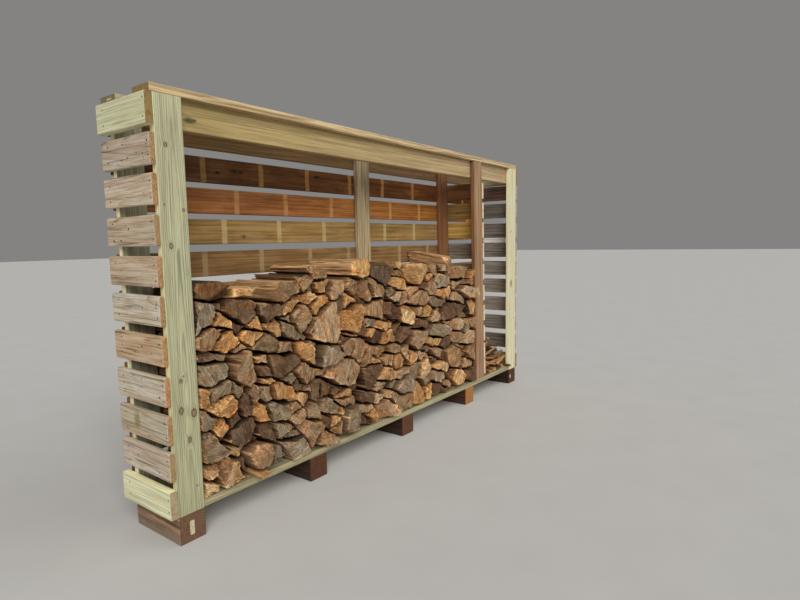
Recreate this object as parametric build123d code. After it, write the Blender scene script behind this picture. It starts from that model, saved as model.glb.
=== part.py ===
from build123d import *
import math
import os

os.makedirs("parts", exist_ok=True)

# ---------------------------------------------------------------- dimensions
# All in millimetres.  The timbers are dressed North American sizes.
W = 139.7            # face of a 2x6 and of a 5/4x6 deck board, side of a 6x6
T = 38.1             # thickness of a 2x6
D = 28.0             # thickness of a 5/4 deck board
LENGTH = 3658.0      # outer face to outer face of the corner posts
DEPTH = 431.8        # front of the posts to the end of the end rails
PLATE_BOTTOM = 2074.0
PLATE_OVER = 12.7    # overhang of the top plates past the near corner post
SLEEPER = 139.7
SLEEPER_X = [0.0, 844.5, 1759.2, 2673.4, LENGTH - SLEEPER]
BACK_POST_Y = 347.7  # front face of the back posts
PART_X = 2828.6      # near face of the partition posts, at the top
PART_LEAN = 44.0     # how much further along the store their feet stand
MID_X = 1731.0       # near face of the middle back post
PROUD = 60.0         # the furthest that a log stands out in front of the posts

FLOOR = SLEEPER + T  # top of the floor boards
HEADER_BOTTOM = PLATE_BOTTOM - W

# centre heights of the cladding boards, measured one by one: they are
# nailed by eye, so the gaps vary from about 20 to 50 mm
NEAR_END_Z = [1834.5, 1660.5, 1479.0, 1296.0, 1117.0, 934.0, 746.0, 564.0, 389.5]
FAR_END_Z = [1858.0, 1688.0, 1498.0, 1305.0, 1125.5, 950.0, 768.5, 582.5, 396.0]
PARTITION_Z = [1831.0, 1661.0, 1492.0, 1309.0, 1125.5, 940.0, 760.0, 577.0, 415.0, 272.0]
BACK_Z = [1821.0, 1652.0, 1483.0, 1304.0, 1125.0, 946.0, 767.0, 588.0, 415.0, 251.0]

# the row frame: +X along the store from the near end, +Y to the back, +Z up,
# origin at the centre of the footprint, on the ground
X0 = LENGTH / 2
Y0 = (DEPTH - PROUD) / 2


def board(x0, x1, y0, y1, z0, z1):
    """A straight-edged timber between two corners, in store coordinates."""
    return Location(((x0 + x1) / 2 - X0, (y0 + y1) / 2 - Y0, (z0 + z1) / 2)) * Box(
        x1 - x0, y1 - y0, z1 - z0
    )


def prism(points, y0, y1, rise=0.0):
    """A closed outline in the XZ plane, carried from y0 back to y1.

    rise is how much higher its back end lies than its front end.
    """
    face = make_face(
        Polyline(*[(x - X0, z) for x, z in points], close=True)
    )
    # the XZ plane's normal is -Y, so the outline is drawn at the back
    sketch = Plane((0, y1 - Y0, rise), x_dir=(1, 0, 0), z_dir=(0, -1, 0)) * face
    if rise:
        return Solid.extrude(sketch.face(), Vector(0, y0 - y1, -rise))
    return extrude(sketch, amount=y1 - y0)


def leaning(shape):
    """A timber of the partition, turned with it: the whole partition is out of plumb."""
    xc, zc = PART_X + W / 2 - X0, (FLOOR + PLATE_BOTTOM) / 2
    turn = -math.degrees(math.atan(PART_LEAN / (PLATE_BOTTOM - FLOOR)))
    return (
        Location((xc + PART_LEAN / 2, 0, zc)) * Rotation(0, turn, 0) * Location((-xc, 0, -zc)) * shape
    )


nodes = {}

# ---------------------------------------------------------------- base
for i, x in enumerate(SLEEPER_X, 1):
    nodes[f"sleeper_{i}"] = [board(x, x + SLEEPER, 0, BACK_POST_Y + T, 0, SLEEPER)]

gap = (DEPTH - 3 * W) / 2
nodes["floor_board_front"] = [board(W, LENGTH - W, 0, W, SLEEPER, FLOOR)]
nodes["floor_board_middle"] = [board(0, LENGTH, W + gap, 2 * W + gap, SLEEPER, FLOOR)]
nodes["floor_board_rear"] = [board(W, LENGTH - W, DEPTH - W, DEPTH, SLEEPER, FLOOR)]

# ---------------------------------------------------------------- posts
nodes["post_front_near"] = [board(0, W, 0, T, SLEEPER, PLATE_BOTTOM)]
# the partition posts are a little short, so that they stand between the
# floor and the plates though they lean
SHORT = 1.8
nodes["post_front_partition"] = [
    leaning(board(PART_X, PART_X + W, 0, T, FLOOR + SHORT, PLATE_BOTTOM - SHORT))
]
nodes["post_front_far"] = [board(LENGTH - W, LENGTH, 0, T, SLEEPER, PLATE_BOTTOM)]

yb = BACK_POST_Y
nodes["post_back_near"] = [board(0, W, yb, yb + T, SLEEPER, PLATE_BOTTOM)]
nodes["post_back_middle"] = [board(MID_X, MID_X + W, yb, yb + T, FLOOR, PLATE_BOTTOM)]
nodes["post_back_partition"] = [
    leaning(board(PART_X, PART_X + W, yb, yb + T, FLOOR + SHORT, PLATE_BOTTOM - SHORT))
]
nodes["post_back_far"] = [board(LENGTH - W, LENGTH, yb, yb + T, SLEEPER, PLATE_BOTTOM)]

# ---------------------------------------------------------------- top
nodes["header_front"] = [board(0, LENGTH, T, 2 * T, HEADER_BOTTOM, PLATE_BOTTOM)]
nodes["header_back"] = [board(0, LENGTH, yb + T, yb + 2 * T, HEADER_BOTTOM, PLATE_BOTTOM)]
nodes["top_plate_front"] = [
    board(-PLATE_OVER, LENGTH, 0, W, PLATE_BOTTOM, PLATE_BOTTOM + T)
]
nodes["top_plate_back"] = [
    board(-PLATE_OVER, LENGTH, DEPTH - W, DEPTH, PLATE_BOTTOM, PLATE_BOTTOM + T)
]

# ---------------------------------------------------------------- ends
nodes["end_rail_near_top"] = [board(-T, 0, 0, DEPTH, HEADER_BOTTOM, PLATE_BOTTOM)]
nodes["end_rail_near_bottom"] = [board(-T, 0, 0, DEPTH, SLEEPER, SLEEPER + W)]
nodes["end_rail_far_top"] = [
    board(LENGTH, LENGTH + T, 0, DEPTH, HEADER_BOTTOM, PLATE_BOTTOM)
]
nodes["end_rail_far_bottom"] = [board(LENGTH, LENGTH + T, 0, DEPTH, SLEEPER, SLEEPER + W)]

h = W / 2
nodes["near_end_slats"] = [board(-D, 0, 0, DEPTH, z - h, z + h) for z in NEAR_END_Z]
nodes["far_end_slats"] = [
    board(LENGTH, LENGTH + D, 0, DEPTH, z - h, z + h) for z in FAR_END_Z
]
nodes["partition_slats"] = [
    leaning(board(PART_X + W, PART_X + W + D, 0, yb + T, z - h, z + h)) for z in PARTITION_Z
]
nodes["back_slats"] = [
    board(0, LENGTH, yb + T, yb + T + D, z - h, z + h) for z in BACK_Z
]

# the pale folded strip that closes part of the gap between the third and
# fourth boards of the far end
s0, s1 = FAR_END_Z[3] + h, FAR_END_Z[2] - h
nodes["far_end_gap_strip"] = [
    board(LENGTH + 2, LENGTH + 26, 112, DEPTH - 4, s0, s1)
]

# ---------------------------------------------------------------- firewood
# Every split log is a prism that lies front to back.  One row is: front end
# (y), back end (y), outline in the XZ plane.  The outlines don't touch, and
# the logs that stand proud of the posts have a negative front end.
LOGS = {
    1: [
        (-60, 376, [(429.2, 196.7), (437.1, 179.1), (511.6, 180.8), (492.6, 217.9), (436.5, 222.8)]),
        (16, 360, [(328.9, 195.3), (332.2, 179.1), (428.6, 179.1), (364.1, 254.5)]),
        (-1, 340, [(142.8, 179.1), (229.6, 179.1), (235.8, 193.6), (231.1, 220.3), (191.9, 246.7), (170.3, 252.5), (142.8, 255)]),
        (-12, 352, [(232.5, 221.8), (237.9, 190.9), (254.9, 179.1), (304.8, 179.1), (330.1, 204.2), (354.2, 257.1), (363.5, 288.1), (355.4, 304.1), (309.5, 342.7), (305.5, 344.9), (255.6, 326.8), (235.3, 250.9)]),
        (25, 368, [(357.1, 264), (405.7, 207.1), (409.1, 205.1), (412, 222.4), (404.6, 298.2), (395.1, 312.3), (370.3, 307.9)]),
        (5, 368, [(142.8, 277), (167.7, 254.9), (198.2, 246.7), (235.2, 256.8), (254.2, 327.8), (186.3, 327.8), (142.8, 306.8)]),
        (25, 352, [(308.8, 381), (314.3, 340.8), (355.6, 306.1), (378.1, 310.1), (388, 346.6), (356.3, 373.1), (326.9, 381)]),
        (60, 346, [(383.6, 327.1), (386.5, 314.1), (476.4, 356.8), (467.7, 383.8), (396.2, 373.9)]),
        (-2, 360, [(142.8, 352.7), (163.1, 334.8), (187.9, 329.4), (258.2, 329.4), (311.3, 348.7), (308.4, 365.2), (229.3, 467.8), (195.8, 507.7), (173.3, 501.7), (142.8, 479.5)]),
        (-2, 346, [(310.6, 400.6), (331.3, 381.4), (348.2, 376.9), (379.7, 372.4), (440.3, 380.8), (470.3, 415.3), (477.4, 455.6), (477.4, 464.3), (452.2, 508), (400.1, 508), (316.6, 469.1)]),
        (3, 360, [(202.3, 509.8), (230.6, 468.8), (283.7, 405.5), (308.6, 396.8), (315.1, 471), (309.6, 534.4), (238.8, 553.3)]),
        (13, 382, [(311, 537.2), (316.8, 470.9), (397.4, 508.6), (365.6, 575.4)]),
        (-7, 340, [(142.8, 505.8), (173, 503.3), (201.1, 510.8), (237, 553.7), (177.8, 612.9), (142.8, 619.8)]),
        (-4, 368, [(366.5, 578.7), (398.7, 509.6), (453.9, 509.6), (465.7, 553.8), (426, 639.8), (404.9, 651.8), (366.5, 619.6)]),
        (-14, 360, [(180.4, 612.6), (237.7, 555.3), (307.4, 536.6), (364.9, 576.9), (364.9, 615.7), (326.2, 661.7), (201.2, 640.1), (181, 616.1)]),
        (-4, 360, [(428.1, 657.6), (432.1, 633.5), (437, 620.1), (467.4, 554.9), (500.6, 588.1), (518.3, 654.3), (467, 684.1)]),
        (-10, 376, [(328.4, 661.6), (363.8, 619.4), (403.5, 652.7), (396.9, 682.2), (328.4, 730.2)]),
        (35, 352, [(400.6, 669.5), (402.6, 660.2), (410.4, 648.9), (413.7, 648.8), (449.9, 673.4), (459.1, 688), (435.8, 702.1)]),
        (-7, 340, [(142.8, 625.7), (181, 618.6), (198.6, 639.6), (211, 709.6), (154.3, 730.3), (142.8, 731)]),
        (-13, 340, [(200.6, 641.7), (326.8, 663.9), (326.8, 733.3), (321.3, 742.9), (307.4, 745.1), (212.8, 710.7)]),
        (60, 382, [(446.4, 696.9), (483.8, 675.3), (507.2, 676.3), (510.2, 678.7), (480.6, 746.1), (452, 777.7), (446.4, 763.3)]),
        (-60, 340, [(319.3, 757), (321.9, 745), (330, 731), (400.5, 681.7), (408.6, 678), (445.6, 712.3), (445.6, 834.4), (438, 872.4), (356.8, 858.1), (327.4, 803.4)]),
        (-4, 376, [(142.8, 742.8), (147.9, 734.3), (210.5, 711.5), (316.3, 750), (325.6, 802), (315.1, 827.4), (262.1, 833.7), (142.8, 844.1)]),
        (35, 360, [(446.4, 785), (458.9, 771.3), (484.5, 774.3), (495, 779.2), (468.4, 848.9), (446.4, 834)]),
        (60, 376, [(299.1, 830.1), (338, 825.5), (352.3, 851.4), (351.9, 860.4), (321.9, 869.7), (317.3, 868.5)]),
        (5, 340, [(181.8, 890.6), (190.5, 841.6), (299.1, 832.1), (312.3, 859.7), (212, 895.9)]),
        (11, 368, [(143.1, 845.7), (188.9, 841.7), (180.1, 891.3), (146.6, 900.3)]),
        (0, 360, [(349.9, 861.9), (356.9, 859.7), (436.8, 873.8), (445.2, 880), (396.8, 913.9), (358.8, 881.9)]),
        (-6, 340, [(213.9, 897.3), (301.4, 865.4), (328.8, 872.2), (358.2, 883.5), (393.1, 912.8), (379.3, 950.6), (355.7, 984.4), (333.3, 988.3), (282.8, 979.4)]),
        (-15, 382, [(381.2, 950.2), (392.7, 918.7), (447.6, 880.3), (460.1, 873.1), (548.2, 947.3), (444.2, 975.2), (428.7, 977.7)]),
        (-14, 352, [(142.8, 915.9), (148.2, 901.5), (182.4, 892.4), (212, 897.6), (281.9, 980.8), (269.9, 1000.4), (229.5, 1019.2), (226.7, 1018.7), (142.8, 970.3)]),
        (17, 346, [(355.6, 1027.5), (359.7, 981.5), (380.5, 951.7), (428.8, 979.6), (432.8, 991.5)]),
        (20, 368, [(273.3, 998.9), (283.5, 981.2), (328.7, 989.1)]),
        (-3, 382, [(233.4, 1019.2), (273.4, 1000.5), (357.7, 985.6), (353.8, 1029.9), (301.5, 1082.2), (283.6, 1085.4), (269.4, 1081.6)]),
        (-5, 360, [(142.8, 976.1), (148.2, 975.3), (235.2, 1025.5), (267.7, 1081.8), (270.3, 1090.3), (256.6, 1118.8), (244.3, 1130.2), (142.8, 1157.4)]),
        (-4, 382, [(302.5, 1083.5), (357.7, 1028.4), (437.3, 991.2), (509.6, 1042.4), (509.6, 1104.5), (487.8, 1133.3), (355.3, 1144.9), (306.4, 1127.1)]),
        (19, 376, [(261.3, 1126.8), (273.9, 1090.7), (288.3, 1086.2), (301, 1083.9), (304.7, 1126.8)]),
        (8, 382, [(363.2, 1145.8), (503.3, 1133.6), (525.7, 1186.3), (495.4, 1192.7), (388.6, 1192.7), (378.9, 1188.9)]),
        (-4, 360, [(142.8, 1159), (258.2, 1128.4), (305.3, 1128.4), (362.8, 1149.3), (375.8, 1185.1), (360.9, 1211.8), (306.4, 1237.1), (145.4, 1237.1), (142.8, 1196.9)]),
    ],
    2: [
        (45, 368, [(588.9, 185.2), (625.7, 178.3), (698.3, 178.3), (677.5, 207), (668.2, 217.1), (619.7, 216.4)]),
        (60, 368, [(500.7, 207.4), (511.9, 184.9), (527.8, 178.3), (583.6, 178.3), (565, 270.2), (558.7, 277.7), (535.6, 256.9), (512, 229)]),
        (-25, 376, [(637.2, 307.6), (641.3, 291.1), (660.3, 239.1), (670.5, 218.1), (698.7, 179.1), (728.5, 179.1), (817.6, 184.6), (848.3, 197.2), (796.8, 307.6)]),
        (0, 340, [(566.9, 264.7), (576.5, 217.4), (650.1, 217.8), (663.3, 226), (640.5, 288.7), (636, 292.9), (588.5, 318)]),
        (-60, 352, [(403.2, 321.1), (409.1, 260.4), (426.7, 225.7), (487.5, 219.9), (504.6, 221.6), (526.2, 247.1), (555, 309.4), (556, 334.7), (512.6, 359.7), (472.1, 353.8)]),
        (25, 352, [(547.8, 291.9), (567.6, 268.4), (579.1, 299.4), (578.4, 323.9), (563, 324.8)]),
        (5, 340, [(626.6, 314.6), (635.9, 309.2), (794.2, 309.2), (785.3, 333.6), (712.1, 357.1), (630.8, 319.2)]),
        (35, 360, [(713, 357.9), (780.7, 335.9), (780.2, 351.2), (777.9, 359.7), (765.7, 368.1), (732.1, 372.9)]),
        (-5, 382, [(591, 433.1), (610.3, 324), (627.5, 319.4), (714.2, 359.9), (729.9, 372.3), (700.9, 413.7)]),
        (45, 360, [(463.7, 398.8), (477.7, 356.7), (500, 358.7), (507.3, 365.1), (481.5, 389.8)]),
        (1, 346, [(473.4, 423.6), (477.3, 394.8), (511.3, 362.4), (572, 327.3), (609.3, 320), (589.7, 431.4), (571.5, 449.6), (490.2, 456.7), (478.8, 454.4)]),
        (-5, 346, [(699.6, 418.5), (730.7, 373.9), (771.3, 368.1), (829.1, 389.1), (834.1, 446.9), (805.6, 466.8), (713.2, 442)]),
        (-5, 368, [(546.1, 551.2), (573.2, 450.1), (588.1, 435.2), (695.4, 416.3), (697.7, 418.4), (712.5, 445.1), (712.6, 514), (597.5, 555.9)]),
        (0, 376, [(714.2, 444), (804.3, 468.3), (767.1, 512.7), (760.6, 518.1), (714.5, 513.8)]),
        (-1, 376, [(454.8, 506.7), (478.3, 465.9), (480.5, 464.1), (495.3, 457.8), (571.3, 451.2), (544.5, 551), (498.2, 583.4), (467, 552.2)]),
        (14, 352, [(730.4, 613.9), (762.9, 557.6), (816.9, 557.6), (826.7, 594.4), (775.5, 645.5)]),
        (-14, 376, [(578.2, 645.5), (602.2, 555.9), (713, 515.6), (759.8, 519.7), (762.8, 554.5), (729.4, 612.4), (647, 660), (624, 664.1), (581.7, 648.6)]),
        (6, 346, [(501, 583.4), (544.6, 552.9), (600, 557.8), (576.5, 645.4), (524.7, 664.3), (519, 650.6)]),
        (1, 382, [(649.9, 660.2), (728.7, 614.7), (774.2, 646.5), (744.2, 689.4), (736.9, 691.8)]),
        (-4, 376, [(507.7, 675.6), (520, 667.7), (574.7, 647.8), (620.5, 664.5), (591.7, 688.7), (530.2, 694.1)]),
        (-8, 360, [(470.2, 771.8), (494.9, 715.6), (531.7, 695.5), (594.5, 690.1), (573.8, 767.2), (491.7, 774.4)]),
        (-8, 346, [(571.2, 818.1), (575.5, 767.2), (597.1, 686.2), (621, 666.2), (648.5, 661.4), (747.3, 697.3), (810.9, 734), (809.3, 744.9), (780, 786.7), (632.2, 812.8)]),
        (8, 340, [(478.6, 824.5), (497.3, 775.5), (573.7, 768.8), (569.4, 818.5), (555.6, 823.9)]),
        (60, 360, [(472.4, 842.4), (478.3, 825.3), (504.1, 825.1), (519.6, 837.4), (477.7, 851.7)]),
        (-4, 352, [(628, 815.1), (780.6, 788.3), (785.3, 841.8), (771.3, 860.2), (713.7, 875.7), (684.7, 879.1), (648.4, 871.1)]),
        (-7, 346, [(459.7, 858.7), (574.3, 819.5), (626.3, 814.9), (647.4, 873.1), (638.8, 896.4), (557.5, 952.7), (469.2, 878.6)]),
        (60, 382, [(661.2, 876.1), (667.2, 876.1), (691.5, 881.4), (699.4, 885), (673.4, 919.1)]),
        (-11, 346, [(674.7, 918.7), (703.4, 881), (706.8, 879.2), (771.9, 861.7), (785.3, 862.8), (802, 891), (752.8, 960.5), (692.5, 988.7), (687, 988)]),
        (4, 368, [(556.3, 958.2), (558.7, 954.5), (640.3, 897.3), (666.4, 897.5), (674.1, 924.4), (686.8, 996.6), (682.9, 1011.5), (675.1, 1013.7), (556.3, 981.9)]),
        (2, 368, [(441.8, 992.4), (456.1, 973.7), (548, 949), (552.3, 952), (554.7, 957.8), (554.7, 985.9), (509.5, 1039.8)]),
        (20, 376, [(686.6, 1003.9), (687.5, 1000.5), (694.5, 989.5), (751.1, 963.1), (751.5, 1013.6), (747.2, 1015.1)]),
        (-13, 360, [(511.2, 1040.3), (558.4, 984.1), (679.7, 1016.8), (684.8, 1075.1), (681.2, 1081.6), (652.9, 1089.2), (556.2, 1107.5), (511.2, 1101.8)]),
        (6, 340, [(681.6, 1013.9), (694.2, 1007.4), (749.9, 1017.2), (755.9, 1020.3), (822.5, 1086.9), (824.7, 1111.2), (801.3, 1139.2), (704.6, 1090.2), (686.6, 1076.6)]),
        (-40, 340, [(612.6, 1166.2), (625.1, 1111.1), (631.1, 1096.7), (669.6, 1086.4), (785.1, 1138), (793.4, 1167.5), (761.4, 1213.4), (639.7, 1213.5), (624.5, 1210.1)]),
    ],
    3: [
        (35, 340, [(814, 180.2), (837.9, 178.3), (936.8, 178.3), (913.7, 203.6), (894.1, 215.2), (821.9, 185.5)]),
        (45, 382, [(1073.1, 219.4), (1074.9, 201.4), (1088.7, 178.3), (1159.6, 178.3), (1141.4, 198.9)]),
        (-40, 346, [(884.1, 222.1), (956.4, 179.1), (1071.9, 179.1), (1077.7, 195.2), (1054.2, 234.5), (1045.9, 244.4), (989.7, 276.9), (956.1, 282.5)]),
        (-10, 360, [(1047.3, 245.3), (1069.2, 221.4), (1113.9, 208), (1119.8, 215.1), (1134.7, 299.3), (1131, 300), (1057.5, 257.5)]),
        (0, 382, [(963.4, 381.3), (990.8, 278.1), (1046, 246.2), (1051.3, 252.6), (1059.6, 346.9)]),
        (-15, 360, [(776.4, 368.2), (782.2, 346.8), (788.9, 328.5), (847.3, 203.7), (876.6, 217.9), (956.3, 284.7), (980.3, 311.1), (979.4, 314.4), (956, 342.8), (831.2, 388.2)]),
        (5, 382, [(1053.3, 257), (1117.2, 293.9), (1136.4, 307.7), (1129.3, 323.2), (1087.9, 347.1), (1061.2, 347.4)]),
        (-9, 360, [(1092, 346.6), (1127.6, 326.1), (1144, 323.7), (1158.5, 354.7), (1158.9, 364.7), (1119.4, 393.9)]),
        (6, 346, [(1075.7, 446.4), (1078, 438.3), (1124.4, 391.9), (1144.3, 379.7), (1172.8, 369), (1246.5, 381.9), (1248, 418.6), (1095.4, 445.5)]),
        (-5, 360, [(917.5, 465), (949.4, 396.5), (974.1, 379.7), (1058.5, 349), (1091.6, 349), (1117.9, 394.7), (1069.8, 444.2), (1028.8, 478.7), (946, 478.3)]),
        (-5, 368, [(830.7, 390), (950, 346.6), (955.8, 366.5), (946.6, 398.9), (917, 462.3), (875.6, 486.2), (863, 489.4), (840.5, 470.6), (835.9, 449.4)]),
        (2, 360, [(1043, 483.3), (1061.3, 462.5), (1177.4, 493.6), (1172.6, 504.8), (1076.9, 539.7), (1060.3, 533.6)]),
        (4, 340, [(761.5, 521.8), (806.6, 468.1), (822.1, 457.3), (864.8, 493), (872, 502.3), (868.8, 538.3), (820.2, 556), (764.5, 556)]),
        (7, 376, [(947.4, 480.3), (1024.7, 480.8), (1042.4, 489), (1059.2, 535.3), (1060.3, 541.6), (1044.4, 558.1), (969.1, 610.8), (958.4, 606.9)]),
        (-2, 360, [(871.5, 540.7), (872.2, 517.6), (874.8, 488.6), (914.7, 465.5), (945.7, 479.9), (956.9, 607.4), (901.3, 627.7), (876.6, 598.3)]),
        (-5, 340, [(818.7, 558.3), (869.9, 539.7), (874.8, 595.8), (827.7, 591.7)]),
        (-4, 376, [(901.4, 629.3), (958.3, 608.6), (973.9, 614.3), (1004.4, 667.1), (931.1, 673.5), (913.1, 673.5), (905, 670.8)]),
        (-14, 340, [(743.5, 693.2), (774.7, 648.7), (829.9, 593.5), (873.7, 597.3), (899.7, 628.3), (903.9, 676.1), (892.5, 696.6), (827.1, 734.3), (814, 733.9)]),
        (-55, 340, [(911.2, 686.4), (931.1, 675.1), (990.4, 669.9), (1009.4, 671.7), (1036.9, 676.6), (1116.4, 697.9), (1117.6, 725.7), (1099.3, 770.6), (1085.9, 791), (966.4, 812.1), (940.5, 797.6), (925.5, 768.7)]),
        (25, 360, [(1097.3, 777.7), (1111.3, 743.3), (1142.9, 700.9), (1143.9, 725.9), (1140.5, 768.8), (1102.3, 786.7)]),
        (-10, 346, [(782.1, 786.6), (808.1, 749.4), (841.6, 727.9), (893.7, 697.8), (911.1, 696), (924.3, 771.3), (917.1, 801), (880.7, 835), (831.3, 856.7), (791.3, 850.5), (786.6, 838.9)]),
        (25, 368, [(882.5, 834.4), (928.3, 791.6), (950.2, 804.1), (951.4, 818.7), (910.3, 840.2)]),
        (35, 376, [(798.3, 872), (875.5, 838.2), (886.8, 860.4), (854.1, 894.4), (845.7, 899.5)]),
        (-19, 376, [(857.2, 892.3), (902, 845.7), (953.9, 818.3), (964.7, 814), (1074.8, 794.6), (1101.9, 792.2), (1146.8, 848), (1149.1, 856.3), (1128.2, 974.8), (1101, 1049.5), (1092.9, 1053.6), (1067.3, 1060.5), (928.6, 980), (912, 967.6), (863.1, 909.5)]),
        (-4, 368, [(753.1, 963.8), (797, 901), (814.9, 882.6), (860.7, 909.1), (912.2, 970.4), (914, 978.4), (911.7, 988), (879.2, 1044.3), (844.2, 1069.2), (817.1, 1079.2), (754.9, 1017.1), (753.1, 1013.5)]),
        (-1, 368, [(881.7, 1043.2), (911.6, 991.5), (928.3, 982.1), (1066.4, 1061.8), (1045.3, 1107.1), (1000.1, 1107.1), (966.5, 1102.5)]),
        (1, 340, [(824.1, 1086.1), (874.2, 1050.1), (886.2, 1048.3), (959, 1099.3), (931.4, 1122.7), (892.1, 1138.9), (826.2, 1110.9)]),
        (-3, 346, [(1047.8, 1105.4), (1068.1, 1061.9), (1093.2, 1055.2), (1112.7, 1060.4), (1156, 1076.1), (1187.7, 1114.5), (1190.7, 1186), (1085.4, 1186)]),
        (45, 346, [(824.3, 1116), (861, 1126.5), (892.4, 1139.9), (887.8, 1158.1), (875.4, 1152.7)]),
        (60, 346, [(889, 1157.9), (893.4, 1139.2), (959.3, 1112), (973.7, 1112.4), (956.8, 1178.3), (943.9, 1191.5), (923.2, 1199.8)]),
        (30, 368, [(957.3, 1179.6), (968.7, 1135.2), (1000.7, 1108.7), (1047.6, 1108.7), (1084.1, 1187), (1077.6, 1195.5), (1060.4, 1199.1), (963.2, 1182)]),
        (-12, 346, [(751.3, 1237.3), (782.2, 1186.5), (811.7, 1144.4), (830.7, 1123), (896.3, 1168), (925.1, 1203.4), (891.2, 1237.3)]),
        (10, 340, [(865, 1271.9), (893.4, 1237.3), (932.7, 1198), (963.2, 1183.6), (1059, 1200.5), (1067.6, 1246), (1016.1, 1285.2), (991.6, 1290.7), (900.4, 1290.7)]),
    ],
    4: [
        (60, 340, [(1324.5, 178.4), (1362.3, 178.3), (1376.3, 192.9), (1332.6, 203.7), (1327.5, 196.9)]),
        (45, 346, [(1141.7, 199.7), (1160.7, 178.3), (1222.3, 178.3), (1208.3, 201.9), (1153.6, 207.4)]),
        (13, 346, [(1329.9, 205.4), (1442.2, 179.1), (1447.6, 179.1), (1447.2, 183.8), (1361.5, 269.6), (1330.3, 280.9)]),
        (35, 352, [(1241.3, 182.4), (1258.2, 178.3), (1323.7, 178.3), (1329.1, 211.3), (1329.4, 253.3), (1325.9, 274.9), (1283.4, 284.4), (1262, 249.9)]),
        (-14, 382, [(1367.4, 266), (1452.8, 180.5), (1481.7, 187.9), (1488.2, 194.2), (1479.3, 296.2), (1453, 296.3), (1444.7, 294.1)]),
        (-50, 368, [(1122, 218.2), (1129.4, 210.6), (1204, 203.1), (1249.4, 211.6), (1266.7, 267.8), (1271.9, 332.6), (1250.1, 377.8), (1247.1, 379.9), (1168.2, 366.5), (1154.6, 342.7), (1137.5, 305.9)]),
        (45, 360, [(1269.8, 288.3), (1314, 278.4), (1293.2, 329.5), (1274.7, 345.9), (1273.7, 345.6)]),
        (-9, 346, [(1286.1, 349.3), (1308, 295.4), (1334.4, 281.1), (1369.4, 268.4), (1445.4, 296), (1451.3, 304.7), (1446, 317.3), (1441, 325.9), (1318.5, 358.8)]),
        (35, 368, [(1248.7, 383.7), (1267, 344.5), (1298, 353.6), (1303.6, 376.8), (1293.8, 417.9), (1288.8, 420.9), (1249.3, 430.4)]),
        (-3, 382, [(1292.2, 428), (1305.7, 371.5), (1320.4, 359.9), (1441.7, 327.4), (1458, 388.4), (1451.2, 409.8), (1412.1, 422.8), (1360.7, 436.6)]),
        (35, 360, [(1405.3, 425.7), (1445.5, 411.9), (1462.8, 414.5), (1448.2, 445.7), (1443.2, 451.5)]),
        (1, 360, [(1061.2, 457.7), (1070.1, 451.6), (1228.9, 423.6), (1246.5, 438), (1232.2, 479.6), (1185.9, 494.2), (1068, 462.6)]),
        (45, 346, [(1225.9, 500.3), (1249.7, 431.1), (1270.7, 426.1), (1317.9, 432), (1331, 437.4), (1347.2, 474.3), (1322.2, 549.5), (1281.1, 559.4)]),
        (-6, 360, [(1319.2, 589), (1334.8, 514.2), (1359.9, 438.5), (1405, 426.4), (1459.1, 464.3), (1484.9, 483.7), (1571.8, 556.5), (1554.8, 585.9), (1464.6, 593.8), (1387.4, 594.9)]),
        (45, 382, [(1288.7, 581.1), (1294.4, 557), (1326.7, 549.2), (1312.1, 619.2), (1296.2, 618), (1289.8, 611.3)]),
        (-40, 340, [(973.2, 609.9), (1046.4, 558.6), (1080.8, 540), (1180.3, 503.8), (1233.7, 509.8), (1264, 542.3), (1287.9, 582.2), (1289.6, 625.6), (1230.5, 675.7), (1215.6, 686.8), (1145.7, 699.1), (1134.2, 698.2), (1103.8, 692.8), (1006, 666.6)]),
        (7, 352, [(1393.2, 596.5), (1454.9, 596.5), (1492.9, 623.2), (1450.8, 665.3)]),
        (-5, 368, [(1330.4, 626.1), (1335.7, 592), (1391.4, 596.9), (1453.3, 670.7), (1476.6, 720.7), (1419.7, 753.6)]),
        (1, 352, [(1229.3, 690.7), (1235, 674), (1300.4, 619.1), (1324.8, 620.9), (1414.9, 749.6), (1412.1, 777.4), (1365.1, 794.5), (1327, 801.2), (1301.3, 803.5), (1287.2, 790.9)]),
        (-6, 376, [(1141.7, 764.2), (1145.6, 714), (1154.6, 699.2), (1225.7, 687.6), (1286.2, 792.4), (1290.1, 805.1), (1224.8, 813.7), (1148.4, 769.6)]),
        (0, 340, [(1115.8, 781.3), (1143.2, 768.4), (1221.6, 813.7), (1169.4, 838.5), (1151.2, 833.8)]),
        (-14, 360, [(1363.7, 796.7), (1419.4, 776.4), (1426.1, 775.8), (1475.1, 824.8), (1469.6, 841.4), (1399.5, 847.7)]),
        (25, 360, [(1281.7, 826.9), (1291.3, 805.7), (1301.2, 804.4), (1316.1, 817.7), (1317.6, 820.6), (1316, 858.5), (1296.2, 852.8)]),
        (-10, 346, [(1163.9, 853.8), (1170.3, 839.9), (1221.5, 816), (1287.2, 812.7), (1283.1, 821.9)]),
        (5, 368, [(1310.9, 805.7), (1361.8, 796.7), (1398.1, 849.9), (1368.1, 901.7), (1359, 900)]),
        (-5, 376, [(1367.8, 919.1), (1370.4, 901), (1400.3, 849.3), (1465.8, 843.5), (1474, 851.3), (1482.4, 898.3), (1401.1, 920.1)]),
        (60, 352, [(1315.6, 891.5), (1317.3, 847.5), (1344.1, 872.4), (1367.2, 917.6), (1361.5, 957.1), (1342.5, 942.7)]),
        (-40, 346, [(1130.6, 970.5), (1150.1, 859.6), (1270.9, 826.8), (1284.2, 833.6), (1366.8, 990.7), (1303.2, 1027.5), (1184.4, 995.7)]),
        (16, 340, [(1293.7, 1060.3), (1309.8, 1025.5), (1370.1, 990.7), (1373.2, 989.9), (1413.7, 1003.6), (1321.6, 1079.9)]),
        (7, 382, [(1100.9, 1054.4), (1130.8, 972.4), (1182.8, 996.6), (1196.9, 1076.8), (1154.4, 1073.9)]),
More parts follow.
